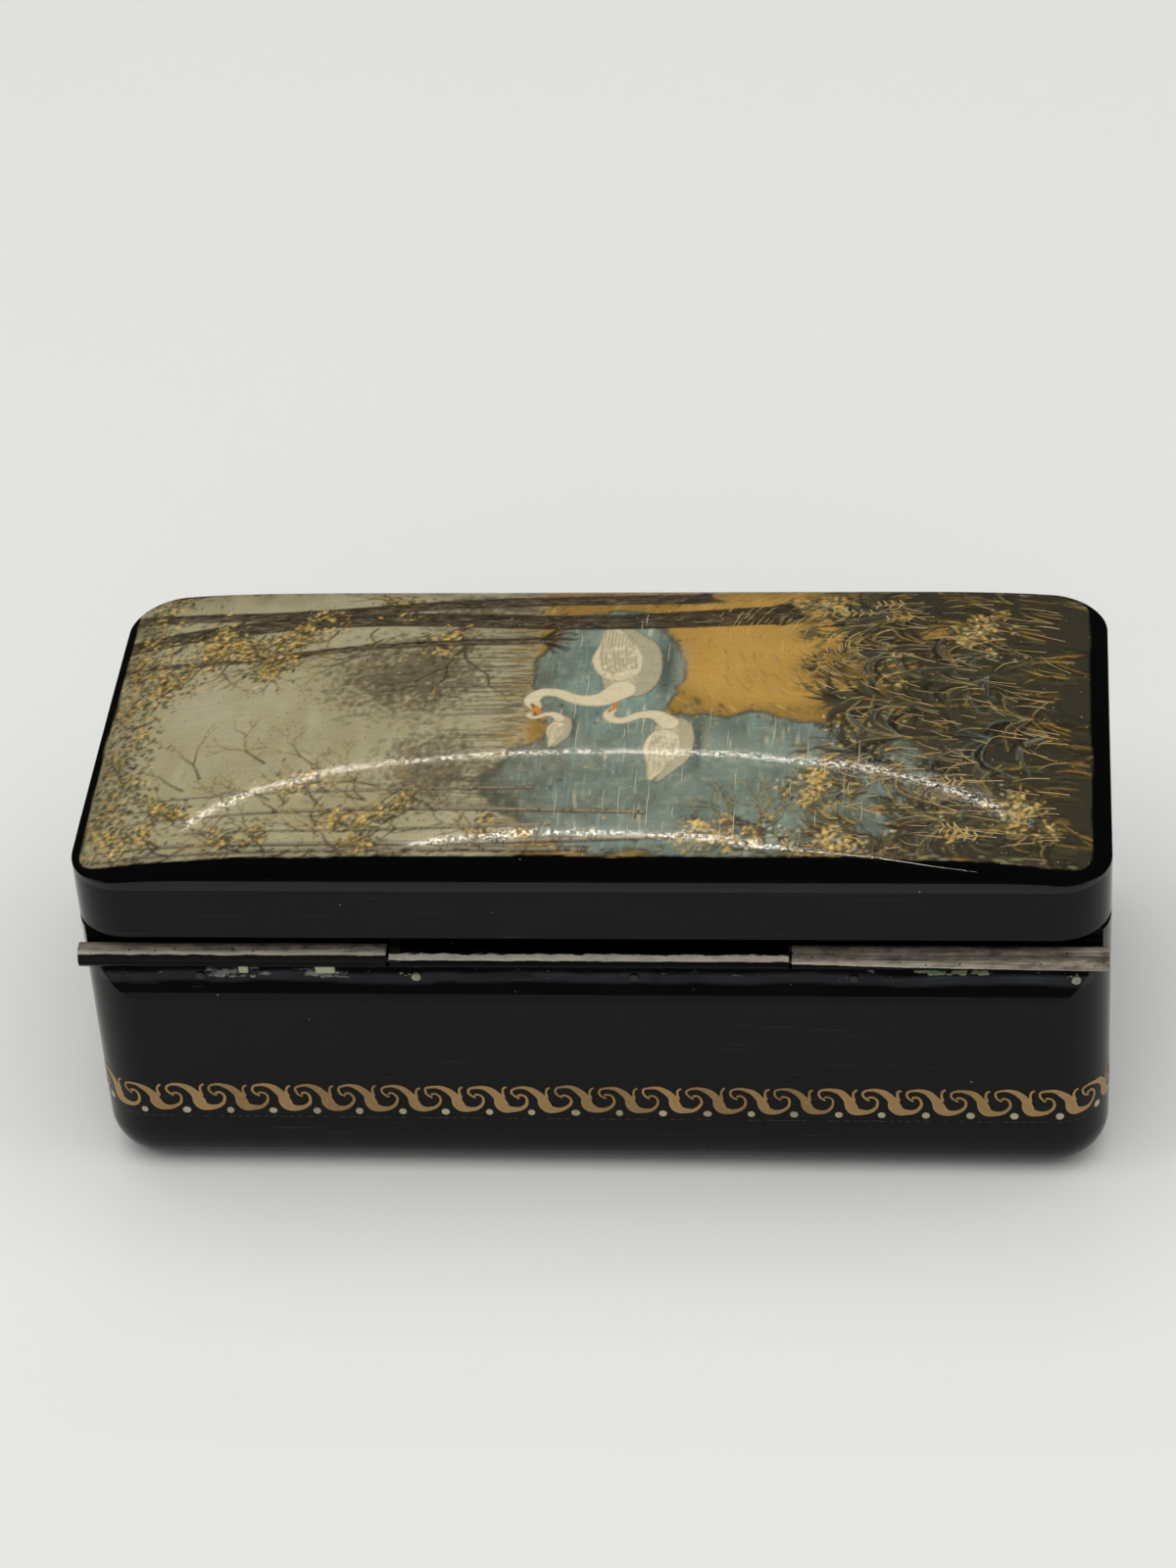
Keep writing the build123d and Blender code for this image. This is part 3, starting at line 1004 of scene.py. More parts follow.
def paint_frond(canvas, colours, u, v):
    """Clump of long arching leaves, dark with a few gold and grey-green edges."""
    random = canvas.random
    lean = random.normal(0, 0.4)
    for index in range(13):
        angle = upright + lean + (index - 6) * 0.16 + random.normal(0, 0.05)
        long = random.uniform(4.5, 8.0)
        bend = (angle - upright) * 0.5
        middle = away(u, v, angle, long * 0.55)
        end = (u + math.cos(angle + bend) * long, v + math.sin(angle + bend) * long * 0.85)
        line = flow([(u, v, 0.10), (*middle, 0.30), (*end, 0.04)], 5)
        dark = canvas.vary(colours.earth * random.uniform(0.35, 1.5), 0.15)
        canvas.stroke(line, dark, 0.92)
        if random.random() < 0.4:
            edge = line + (0.22, 0.05, 0.0)
            edge[:, 2] = 0.05
            canvas.stroke(edge, canvas.vary(colours.gold if index % 2 else colours.water, 0.2), 0.75)


def paint_worn_edge(canvas, colours):
    """Pale and dark touches down the picture's two long sides, and a darker rim all round."""
    random = canvas.random
    for _ in range(500):
        side = random.choice((-1, 1))
        v = random.uniform(-54, 54)
        base = colours.sky if random.random() < 0.45 else colours.earth * 0.3
        u = side * (23.9 + 0.9 * side + random.normal(0, 0.5))
        tall = random.uniform(0.2, 0.9)
        canvas.dab(u, v, 0.18, tall, 0, canvas.vary(base, 0.15), 0.7, 0.6)
    inside_u = 1 - fall(np.abs(canvas.u)[None, :], 20.5, 25.0)
    inside_v = 1 - fall(np.abs(canvas.v)[:, None], 48.0, 54.5)
    canvas.wash((1 - inside_u * inside_v) * 0.55 * canvas.cloud(2.5), colours.earth)


# Far woods: middle across and up, half width, half height, leaves
far_woods = ((6.0, 21.0, 10.0, 13.0, 2600), (-10.5, 17.0, 8.0, 8.5, 1300), (19.0, 15.0, 6.0, 7.0, 700))
# Swans: place across and up, size, side that each faces
swans = ((7.6, -3.4, 13.0, -1), (-6.6, -8.6, 9.0, 1), (-4.2, 3.6, 4.6, 1))
# Old trees: the trunk's rows of place and half width, then boughs
# Each bough: share up the trunk, direction, length, half width
trees = (
    (
        ((18.6, -20.0, 2.2), (16.6, 2.0, 1.7), (17.8, 28.0, 1.5), (15.8, 56.0, 1.2)),
        ((0.50, 2.5, 6.0, 0.42), (0.62, 0.7, 4.0, 0.34), (0.74, 2.3, 6.5, 0.40), (0.86, 2.7, 5.0, 0.34)),
    ),
    (
        ((22.4, -10.0, 1.3), (21.4, 14.0, 1.1), (19.4, 36.0, 0.95), (21.6, 56.0, 0.8)),
        ((0.60, 2.4, 4.0, 0.32), (0.78, 2.6, 5.0, 0.30)),
    ),
    (
        ((12.6, 6.0, 0.70), (12.0, 24.0, 0.56), (10.4, 40.0, 0.46), (11.6, 56.0, 0.34)),
        ((0.55, 2.2, 3.6, 0.22), (0.66, 0.9, 3.6, 0.22), (0.82, 2.5, 4.0, 0.20)),
    ),
)
# Saplings: place across, foot, top, half width
saplings = (
    (-20.4, -14.0, 52.0, 0.50), (-17.2, -6.0, 50.0, 0.34), (-22.4, 0.0, 52.0, 0.42),
    (-13.6, 6.0, 46.0, 0.26), (-19.0, 4.0, 44.0, 0.24),
)
# Shrubs: middle across and up, half width, half height, blossoms
shrubs = (
    (-20.6, -14.0, 2.6, 6.0, 40), (-21.4, -26.0, 2.6, 6.0, 46), (-12.5, -24.0, 4.0, 3.4, 40),
    (-17.0, -35.0, 4.6, 3.6, 50), (-4.0, -29.0, 4.6, 3.0, 44), (9.0, -32.0, 5.0, 3.0, 44),
    (20.4, -24.0, 3.0, 4.4, 40),
)
near_shrubs = ((15.5, -42.0, 5.0, 3.8, 36), (-16.0, -46.0, 5.4, 3.6, 36))


def paint_picture(settings):
    """The whole picture, painted from far to near."""
    names = [prop.identifier for prop in settings.bl_rna.properties if prop.subtype == "COLOR"]
    colours = SimpleNamespace(**{name: np.array(getattr(settings, name)) for name in names})
    canvas = Canvas(25.6, 54.6, 11)
    random = canvas.random
    paint_sky(canvas, colours)
    for wood in far_woods:
        paint_misty_wood(canvas, colours, *wood)
    paint_reeds(canvas, colours)
    paint_ground(canvas, colours)
    paint_lake(canvas, colours)
    for swan in swans:
        paint_swan(canvas, colours, *swan)
    for tree in trees:
        paint_tree(canvas, colours, *tree)
    for _ in range(26):
        side = random.choice((-1, 1))
        u = 14.0 * side + random.normal(0, 3.0)
        angle = upright + side * random.uniform(0.3, 1.4)
        v = random.uniform(18, 48)
        paint_twig(canvas, colours, u, v, angle, random.uniform(2.0, 3.6), 0.16, 4)
    for sapling in saplings:
        paint_sapling(canvas, colours, *sapling)
    top_line = [(u, 52.0 + 1.2 * math.sin(u * 0.7)) for u in np.linspace(-paint_reach, paint_reach, 32)]
    paint_leaves(canvas, colours, top_line, 900, 2.0)
    for shrub in shrubs:
        paint_shrub(canvas, colours, *shrub)
    paint_grass(canvas, colours)
    for _ in range(26):
        paint_frond(canvas, colours, random.uniform(-22, 22), random.uniform(-52, -27))
    for shrub in near_shrubs:
        paint_shrub(canvas, colours, *shrub)
    paint_worn_edge(canvas, colours)
    return canvas


# Cells of the lid's mesh: over the shoulder, along each half, and how many make one of the ceiling
edge_steps = 9
lid_cells_x = 275
lid_cells_y = 125
under_stride = 4
shoulder_turn = 68.0


def corner_grid(lines_x, lines_y, radius):
    """Grid of places whose corner squares are bent onto round corners."""
    x, y = np.meshgrid(lines_x, lines_y, indexing="ij")
    start_x = lines_x[-1] - radius
    start_y = lines_y[-1] - radius
    a = (np.abs(x) - start_x) / radius
    b = (np.abs(y) - start_y) / radius
    corner = (a > 0) & (b > 0)
    bent_x = start_x + radius * a * np.sqrt(np.maximum(1 - b * b / 2, 0.0))
    bent_y = start_y + radius * b * np.sqrt(np.maximum(1 - a * a / 2, 0.0))
    x = np.where(corner, np.sign(x) * bent_x, x)
    y = np.where(corner, np.sign(y) * bent_y, y)
    return x, y


def grid_lines(half, count):
    """Places of grid lines over a width, close together where the shoulder turns."""
    turns = 1 - np.cos(np.linspace(0.0, math.radians(shoulder_turn), edge_steps + 1))
    edge = half - shoulder_radius * turns
    inner = np.linspace(edge[-1], 0.0, count + 1)[1:]
    upper = np.concatenate([edge, inner])
    return np.concatenate([-upper, upper[-2::-1]])


def rim_loop(rows, columns):
    """Indices round the edge of a grid, in order."""
    index = np.arange(rows * columns).reshape(rows, columns)
    return np.concatenate([index[:-1, 0], index[-1, :-1], index[:0:-1, -1], index[0, :0:-1]])


def grid_faces(rows, columns, start, flip=False):
    """Faces between the points of a grid, which are counted from a start."""
    index = start + np.arange(rows * columns).reshape(rows, columns)
    corners = [index[:-1, :-1], index[1:, :-1], index[1:, 1:], index[:-1, 1:]]
    if flip:
        corners.reverse()
    return np.stack([corner.ravel() for corner in corners], axis=1).tolist()


def lid_mesh():
    """Closed lid board: painted top, plumb edge, joint face and hollow ceiling."""
    lines_x = grid_lines(half_length, lid_cells_x)
    lines_y = grid_lines(half_width, lid_cells_y)
    x, y = corner_grid(lines_x, lines_y, corner_radius)
    rows, columns = x.shape
    top = np.stack([x.ravel(), y.ravel(), lid_height(x, y).ravel()], axis=1)
    faces = grid_faces(rows, columns, 0)
    loop = rim_loop(rows, columns)
    foot = top[loop].copy()
    foot[:, 2] = lid_joint_z
    foot_start = len(top)
    count = len(loop)
    for step in range(count):
        after = (step + 1) % count
        faces.append([loop[step], foot_start + step, foot_start + after, loop[after]])
    hollow_x = half_length - lid_wall_thickness
    hollow_y = half_width - lid_wall_thickness
    under_rows = (rows - 1) // under_stride + 1
    under_columns = (columns - 1) // under_stride + 1
    under_lines_x = np.linspace(-hollow_x, hollow_x, under_rows)
    under_lines_y = np.linspace(-hollow_y, hollow_y, under_columns)
    under_x, under_y = corner_grid(under_lines_x, under_lines_y, hollow_corner_radius)
    arch = lid_joint_z + ceiling_step + ceiling_rise * (1 - (under_y / hollow_y) ** 2)
    ceiling = np.minimum(arch, lid_height(under_x, under_y) - least_board)
    ceiling = np.stack([under_x.ravel(), under_y.ravel(), ceiling.ravel()], axis=1)
    under_loop = rim_loop(under_rows, under_columns)
    brim = ceiling[under_loop].copy()
    brim[:, 2] = lid_joint_z
    brim_start = foot_start + count
    ceiling_start = brim_start + len(brim)
    for step in range(len(brim)):
        after = (step + 1) % len(brim)
        outer = [foot_start + (step * under_stride + part) % count for part in range(under_stride + 1)]
        faces.append([brim_start + after, brim_start + step, *outer])
        faces.append([brim_start + step, brim_start + after,
                      ceiling_start + under_loop[after], ceiling_start + under_loop[step]])
    faces += grid_faces(under_rows, under_columns, ceiling_start, flip=True)
    points = np.concatenate([top, foot, brim, ceiling])
    return points, faces, len(top), brim_start


# Edge of the picture: how far it leans on its long and short sides, its corners and its softness
margin_lean = 1.05 * MM
end_lean = 0.55 * MM
picture_corner = 2.5 * MM
edge_wave = 0.07 * MM
edge_soft = 0.1 * MM


def picture_mask(x, y, margin):
    """1 inside the picture's hand-drawn edge and 0 in the black margin."""
    past_x = np.abs(x) - (half_length - margin - picture_corner) - end_lean * x / half_length
    past_y = np.abs(y) - (half_width - margin - picture_corner) + margin_lean * y / half_width
    out = np.hypot(np.maximum(past_x, 0.0), np.maximum(past_y, 0.0))
    out += np.minimum(np.maximum(past_x, past_y), 0.0)
    wave = np.sin(x * 410 + 2 * np.sin(y * 260)) + np.sin(y * 530 + 3 * np.sin(x * 190))
    wave += 0.8 * np.sin(x * 2300 + y * 900) * np.sin(x * 640)
    return 1 - fall(out - picture_corner + edge_wave * wave, -edge_soft, edge_soft)


def mottled_red(finish, place, red):
    """Red lacquer of the inside, a little uneven."""
    mottle = finish.noise(place, 3 * MM, 3.0, 0.6)
    return finish.mix(mottle * 0.35, red, toned(red, 0.55))


def picture_finish(black, red):
    """Fine tempera under clear lacquer, with brush grain, crackle, gold dust and dust."""
    finish = Finish("painted lid")
    place = finish.place()
    paint = finish.painted("paint", "Color")
    mask = Wire(finish, paint.socket.node.outputs["Alpha"])
    z = finish.split(place)[2]
    grain = finish.noise(place, 0.35 * MM, 3.0, 0.65)
    brush = finish.noise(place, 0.9 * MM, 2.0, 0.6, scale=(0.45, 1.6, 1.0))
    tone = 0.62 + grain * 0.46 + brush * 0.30
    grey = finish.make("ShaderNodeCombineColor", inputs={0: tone, 1: tone, 2: tone})
    colour = finish.mix(0.85, paint, grey, "MULTIPLY")
    flecks = finish.specks(place, 0.5 * MM, 0.10, 0.20)
    colour = finish.mix(flecks * 0.75, colour, (0.52, 0.36, 0.13))
    pits = finish.specks(place, 0.42 * MM, 0.14, 0.24)
    colour = finish.mix(pits * 0.7, colour, (0.028, 0.022, 0.014))
    crackle = finish.cells(place, 1.5 * MM, "DISTANCE_TO_EDGE")
    crack = (crackle < 0.014) * (finish.noise(place, 9 * MM) > 0.6)
    colour = finish.mix(crack * 0.25, colour, (0.05, 0.04, 0.025))
    colour = finish.mix(mask, black, colour)
    inside = finish.painted("inside")
    colour = finish.mix(inside, colour, mottled_red(finish, place, red))
    dust = finish.specks(place, 1.3 * MM, 0.06, 0.10)
    colour = finish.mix(dust * 0.55, colour, (0.33, 0.32, 0.28))
    wave = finish.noise(place, 6 * MM, 2.0)
    dull = finish.noise(place, 0.45 * MM, 2.0, 0.6).ramp(0.47, 0.60)
    relief = grain * 0.15 * mask + wave * 1.4 + flecks * 0.3
    joint_face = z < lid_joint_z + 0.02 * MM
    return finish.surface(
        Base_Color=colour,
        Roughness=0.025 + 0.20 * dull * mask + 0.3 * dust + 0.2 * joint_face + 0.12 * inside,
        Specular_IOR_Level=0.34,
        Normal=finish.bump(relief, 0.016 * MM, 0.7),
    )


def inside_mask(finish, place, thickness):
    """1 in the hollow of a wall ring and 0 outside it."""
    x, y, _ = finish.split(place)
    slack = 0.05 * MM
    in_x = abs(x) < half_length - thickness + slack
    in_y = abs(y) < half_width - thickness + slack
    return in_x * in_y


def lacquer_finish(name, settings, thickness, floor_z=None):
    """Black lacquer with dust, hair scratches and handling haze, red in the hollow; on the base also painted
    light: a paler foot and a grey sheen on the ledge.
    """
    finish = Finish(name)
    place = finish.place()
    z = finish.split(place)[2]
    haze = finish.noise(place, 14 * MM, 3.0, 0.6)
    hairs = finish.noise(place, 0.5 * MM, 1.0, 0.5, scale=(0.05, 0.05, 1.6))
    hair = (hairs > 0.71) * (finish.noise(place, 7 * MM) > 0.5)
    dust = finish.specks(place, 1.6 * MM, 0.07, 0.075)
    fluff = finish.specks(place, 4.5 * MM, 0.10, 0.045)
    colour = finish.mix(hair * 0.04 + haze * 0.012, settings.black, settings.dust)
    if name == "base lacquer":
        # Painted light: paler towards the foot, standing in for the floor's bounce
        foot = (1 - z.ramp(5.0 * MM, 7.4 * MM)) * 0.4
        colour = finish.mix(foot * haze * 0.12, colour, settings.dust)
        colour, rough = ledge_sheen_and_wear(finish, place, colour, settings)
    else:
        rough = 0.0
    inside = inside_mask(finish, place, thickness)
    if floor_z is not None:
        inside = inside * (z > floor_z)
    colour = finish.mix(inside, colour, mottled_red(finish, place, settings.red))
    colour = finish.mix(dust.most(fluff) * 0.6, colour, settings.dust)
    wave = finish.noise(place, 9 * MM, 2.0)
    relief = wave + hair * 0.02 + dust * 0.15
    return finish.surface(
        Base_Color=colour,
        Roughness=(0.05 + 0.06 * haze + 0.25 * dust + 0.12 * hair + rough).least(0.95),
        Specular_IOR_Level=0.155,
        Normal=finish.bump(relief, 0.05 * MM, 0.6),
    )


# Painted sheen and wear of the ledge: a ridge under the barrel's axis and its crest, painted grey as a
# reflection, and the rubbed band above it
ledge_depth = 1.7 * MM
wear_foot = 5.2 * MM
ridge_drop = 2.60 * MM
ridge_reach = 0.72 * MM
crest_rise = 0.25 * MM
crest_reach = 0.30 * MM
rubbed_rise = 0.60 * MM
rubbed_reach = 0.65 * MM
# Places along X that the tabs have rubbed, and how far each reaches
rubbed_places = ((28.4 * MM, 4.2 * MM), (38.0 * MM, 4.6 * MM))


def ledge_sheen_and_wear(finish, place, colour, settings):
    """Painted grey sheen on a soft ridge of thick lacquer along the ledge, standing in for its reflection,
    rubbed pale under the leaf's tabs.
    """
    x, y, z = finish.split(place)
    on_ledge = (y > half_width - ledge_depth) * (z < barrel_z) * (z > barrel_z - wear_foot)
    wander = (finish.noise(place, 14 * MM, 2.0, 0.5, scale=(1.0, 0.0, 0.0)) - 0.5) * 1.5 * MM
    ragged = (finish.noise(place, 1.4 * MM, 3.0, 0.6, scale=(0.35, 1.0, 1.0)) - 0.5) * 0.5 * MM
    level = z - barrel_z + ridge_drop + wander + ragged
    ridge = on_ledge * level.near(0.0, ridge_reach).ramp(0.0, 0.60)
    patch = finish.noise(place, 5 * MM, 2.0, 0.6, scale=(1.0, 0.3, 0.3)).ramp(0.30, 0.70)
    crest = on_ledge * level.near(crest_rise, crest_reach) * patch
    # Painted reflection: grey sheen along the ridge and its crest
    colour = finish.mix(ridge * (0.35 + 0.3 * patch) + crest * 0.3, colour, settings.ledge)
    under_tabs = x.near(*rubbed_places[0]).most(x.near(*rubbed_places[1]))
    smear = finish.noise(place, 0.8 * MM, 3.0, 0.65, scale=(0.35, 1.0, 1.0))
    band = abs(level - rubbed_rise) < rubbed_reach
    rubbed = on_ledge * band * (smear + under_tabs * 0.24).ramp(0.64, 0.80)
    colour = finish.mix(rubbed * 0.75, colour, settings.chip)
    return colour, ridge * 0.12 + rubbed * 0.4


# Bare metal, by its height over the barrel's axis: a band on the middle knuckle
bare_band = (0.36 * MM, 0.42 * MM, 0.92 * MM, 1.02 * MM)
# On the outer knuckles: all above a line on the +X side, and above a sloping line on the -X side
bare_line = 0.80 * MM
wedge_line = 0.12 * MM
wedge_start = 22 * MM
wedge_slope = 0.031
# Places along X of the two pin heads that are not under lacquer
pale_heads = (18.6 * MM, -51.3 * MM)


def metal_finish(name, settings, black):
    """Silver-grey metal rubbed bare above and still lacquered black below, with a painted highlight line on
    the bare metal and painted shade over the top of the -X knuckles.
    """
    finish = Finish(name)
    place = finish.place()
    x, _, z = finish.split(place)
    ragged = (finish.noise(place, 0.7 * MM, 3.0, 0.7, scale=(0.3, 1.0, 1.0)) - 0.5) * 0.28 * MM
    rise = z - barrel_z + ragged
    if name == "lid hinge metal":
        bare = rise.ramp(*bare_band[:2]) * (1 - (rise + ragged).ramp(*bare_band[2:]))
        line = bare * 0.8
    else:
        left = x > 0.0
        wedge = wedge_line + (x + wedge_start) * wedge_slope
        edge = left * bare_line + (1 - left) * wedge
        bare = rise.ramp(edge, edge + 0.06 * MM)
        line = bare * (1 - rise.ramp(edge + 0.16 * MM, edge + 0.34 * MM))
        # Painted shade: on the -X side the knuckle's top is darkened over its bare metal
        upper = (1 - left) * (rise + ragged * 2.0).ramp(0.42 * MM, 0.80 * MM)
        upper = upper * (1 - rise.ramp(1.0 * MM, 1.2 * MM))
        bare = bare * (1 - upper * 0.62)
    scratch = finish.noise(place, 0.25 * MM, 2.0, 0.6, scale=(0.06, 1.0, 1.0))
    stain = finish.noise(place, 1.1 * MM, 4.0, 0.7, scale=(0.5, 1.0, 1.0))
    colour = finish.mix(stain.ramp(0.42, 0.72) * 0.8, settings.bare, settings.tarnish)
    colour = finish.mix(scratch.ramp(0.55, 0.72) * 0.55, colour, toned(settings.bare, 1.7))
    flecks = finish.specks(place, 0.7 * MM, 0.25, 0.28)
    colour = finish.mix(flecks * 0.85, colour, settings.tarnish)
    lines = finish.noise(place, 0.16 * MM, 1.0, 0.5, scale=(0.02, 1.0, 1.0)).ramp(0.56, 0.64)
    colour = finish.mix(lines * (1 - line) * 0.6, colour, settings.tarnish)
    # Painted highlight: a pale line along the lower edge of the bare metal, and over the middle knuckle's
    # whole bare band
    colour = finish.mix(line * (0.35 + 0.4 * scratch), colour, (0.52, 0.50, 0.42))
    charcoal = finish.mix((x > 20 * MM) * (rise > 0.0) * 0.6, black, (0.014, 0.013, 0.011))
    colour = finish.mix(bare, charcoal, colour)
    return finish.surface(
        Base_Color=colour,
        Metallic=bare * 0.35,
        Roughness=0.16 + bare * (0.16 + 0.25 * stain),
        Specular_IOR_Level=0.05,
        Normal=finish.bump(scratch * 0.5 + stain, 0.03 * MM, 0.7),
    )


def wire_finish(settings):
    """Steel wire and pin heads with a green-grey film."""
    finish = Finish("pin wire")
    place = finish.place()
    x = finish.split(place)[0]
    film = finish.noise(place, 0.5 * MM, 3.0, 0.6)
    colour = finish.mix(film.ramp(0.38, 0.62), settings.bare, settings.verdigris)
    pale = (abs(x - pale_heads[0]) < 2 * MM).most(abs(x - pale_heads[1]) < 2 * MM)
    colour = finish.mix(pale * 0.9, (0.004, 0.004, 0.004), colour)
    return finish.surface(
        Base_Color=colour,
        Metallic=0.2,
        Roughness=0.22 + film * 0.2,
        Normal=finish.bump(film, 0.02 * MM, 0.8),
    )


def crust_finish(name, first, second):
    """Dull crust of two mottled colours."""
    finish = Finish(name)
    place = finish.place()
    mottle = finish.noise(place, 0.35 * MM, 3.0, 0.7)
    return finish.surface(
        Base_Color=finish.mix(mottle.ramp(0.35, 0.65), first, second),
        Roughness=0.55 + mottle * 0.3,
        Normal=finish.bump(mottle, 0.04 * MM, 0.8),
    )


def gold_finish(name, body, edge):
    """Hand-laid gold paint, paler along its edges."""
    finish = Finish(name)
    place = finish.place()
    across = finish.painted("across")
    tone = finish.painted("tone")
    mottle = finish.noise(place, 0.45 * MM, 3.0, 0.65)
    rim = (abs(across) + (mottle - 0.5) * 0.6).ramp(0.60, 1.0)
    colour = finish.mix(rim * 0.85, body, edge)
    worn = (mottle * 0.9 + tone * 0.5).ramp(0.45, 1.0) * 0.7
    colour = finish.mix(worn, colour, toned(body, 0.5))
    return finish.surface(
        Base_Color=colour,
        Roughness=0.30 + mottle * 0.2,
        Specular_IOR_Level=0.35,
        Normal=finish.bump(mottle, 0.02 * MM, 0.6),
    )


def shadow_finish(settings):
    """Thin brown ground that the scroll is painted on."""
    finish = Finish("border ground")
    place = finish.place()
    mottle = finish.noise(place, 0.6 * MM, 3.0, 0.6)
    return finish.surface(
        Base_Color=finish.mix(mottle.ramp(0.4, 0.7) * 0.6, settings.ground, (0.002, 0.001, 0.001)),
        Roughness=0.35,
        Specular_IOR_Level=0.08,
        Normal=finish.bump(mottle, 0.01 * MM, 0.5),
    )


# One scroll of the border: share of the period, share of the height, half width
scroll_shares = (
    (0.171, 0.567), (0.083, 0.642), (0.031, 0.761), (0.064, 0.896), (0.229, 0.950), (0.376, 0.925),
    (0.538, 0.830), (0.700, 0.600), (0.755, 0.345), (0.835, 0.190), (1.000, 0.130), (1.183, 0.165),
    (1.312, 0.284), (1.367, 0.448), (1.339, 0.597), (1.257, 0.681), (1.174, 0.663),
)
scroll_halves = (
    0.12, 0.12, 0.125, 0.13, 0.16, 0.24, 0.38, 0.48, 0.66, 0.58, 0.37, 0.24, 0.18, 0.145, 0.13, 0.125, 0.15,
)
tick_shares = ((0.830, 0.560), (0.812, 0.740), (0.835, 0.870), (0.899, 0.930))
tick_halves = (0.20, 0.13, 0.13, 0.12)
dot_share = (0.468, 0.036)
dot_radius = 0.41 * MM
halo = 0.17 * MM
# Heights of the paint over the wall, and how deep its closed strokes sink in
paint_lift = 0.012 * MM
ground_lift = 0.005 * MM
paint_sink = -0.06 * MM
# Thin line under the scroll: its drop, its half width, how many dashes go round and how many are lost
thin_line_drop = 0.75 * MM
thin_line_half = 0.045 * MM
thin_line_tip = 0.02 * MM
thin_line_steps = 330
lost_share = 0.25


def scroll_line(shares, halves, start, period, settings, random):
    """Stroke of one scroll, each a little different, as the hand leaves it."""
    wide = random.normal(1.0, 0.06)
    tall = random.normal(1.0, 0.02)
    line = []
    for (along, up), half in zip(shares, halves):
        along += random.normal(0.0, 0.006)
        up += random.normal(0.0, 0.008)
        line.append((start + along * period, settings.foot + up * tall * settings.height, half * wide * MM))
    return flow(line, 3)


def rounded_ends(line, reach):
    """Stroke whose two ends are drawn to a round point past its first and last rows."""
    first = line[0].copy()
    last = line[-1].copy()
    back = line[0, :2] - line[1, :2]
    on = line[-1, :2] - line[-2, :2]
    first[:2] += back / np.linalg.norm(back) * line[0, 2] * reach
    last[:2] += on / np.linalg.norm(on) * line[-1, 2] * reach
    first[2] *= 0.45
    last[2] *= 0.45
    return np.vstack([first, line, last])


def paint_border(settings):
    """Gold scrolls on their brown ground, cream dots and a thin broken line, all round the base."""
    straight = 4 * (half_length + half_width - 2 * corner_radius)
    period = (straight + 2 * math.pi * corner_radius) / settings.repeats
    random = np.random.default_rng(5)
    gold = Piece()
    ground = Piece()
    dots = Piece()
    for index in range(settings.repeats):
        start = index * period
        tone = random.random()
        scroll = scroll_line(scroll_shares, scroll_halves, start, period, settings, random)
        tick = scroll_line(tick_shares, tick_halves, start, period, settings, random)
        for line, lift in ((scroll, paint_lift), (tick, paint_lift * 1.4)):
            brush_mark(gold, rounded_ends(line, 0.8), round_the_wall, lift, paint_sink, tone=tone)
            halo_line = line[::2].copy()
            halo_line[:, 2] += halo
            halo_line = rounded_ends(halo_line, 0.8)
            brush_mark(ground, halo_line, round_the_wall, ground_lift, paint_sink, tone=tone)
        angles = np.linspace(math.pi, 0.0, 9)
        wide = dot_radius * random.normal(1.05, 0.06)
        tall = dot_radius * random.normal(1.05, 0.06)
        centre_u = start + dot_share[0] * period + random.normal(0, 0.05 * MM)
        centre_z = settings.foot + dot_share[1] * settings.height
        dot = [(centre_u + wide * math.cos(a), centre_z, max(tall * math.sin(a), 0.02 * MM)) for a in angles]
        brush_mark(dots, dot, round_the_wall, paint_lift * 1.8, paint_sink, tone=tone)
    line = Piece()
    whole = period * settings.repeats
    for index in range(thin_line_steps):
        if random.random() < lost_share:
            continue
        u = whole * index / thin_line_steps
        reach = whole / thin_line_steps * random.uniform(0.5, 0.95)
        low = settings.foot - thin_line_drop + random.normal(0, 0.02 * MM)
        halves = (thin_line_tip, thin_line_half, thin_line_tip)
        rows = [(u + reach * share, low, half) for share, half in zip((0.0, 0.5, 1.0), halves)]
        brush_mark(line, rows, round_the_wall, paint_lift, paint_sink, 2, tone=0.5)
    dull = toned(settings.body, 0.16)
    gold_paint = gold_finish("border gold", settings.body, settings.edge)
    dot_paint = gold_finish("border dots", settings.dot, settings.edge)
    gold.build("scroll_border", gold_paint, "base", "painted_lacquer")
    ground.build("scroll_border_ground", shadow_finish(settings), "base", "black_lacquer")
    dots.build("scroll_border_dots", dot_paint, "base", "painted_lacquer")
    line.build("border_thin_line", gold_finish("thin line", dull, dull), "base", "painted_lacquer")


class BOX_OT_lacquer(bpy.types.Operator):
    """Finish the walls, the bottom and the lip in black and red lacquer"""

    bl_idname = "lacquer_box.lacquer"
    bl_label = "Lacquer the walls"

    def execute(self, context):
        settings = context.scene.box_lacquer
        dress("base_wall", lacquer_finish("base lacquer", settings, wall_thickness))
        dress("bottom_board", lacquer_finish("board lacquer", settings, wall_thickness, red_board_z))
        dress("lid_wall", lacquer_finish("lid lacquer", settings, lid_wall_thickness))
        dress("inner_lip", lacquer_finish("lip lacquer", settings, 0.0))
        return {"FINISHED"}


class BOX_OT_hinge(bpy.types.Operator):
    """Finish the hinge leaves, the wire and the pins in worn metal"""

    bl_idname = "lacquer_box.hinge"
    bl_label = "Wear the hinge"

    def execute(self, context):
        settings = context.scene.box_metal
        black = context.scene.box_lacquer.black
        dress("base_hinge_leaf", metal_finish("base hinge metal", settings, black))
        dress("lid_hinge_leaf", metal_finish("lid hinge metal", settings, black))
        wire = wire_finish(settings)
        for node in ("hinge_pin", "base_leaf_pins", "lid_leaf_pins"):
            dress(node, wire)
        return {"FINISHED"}


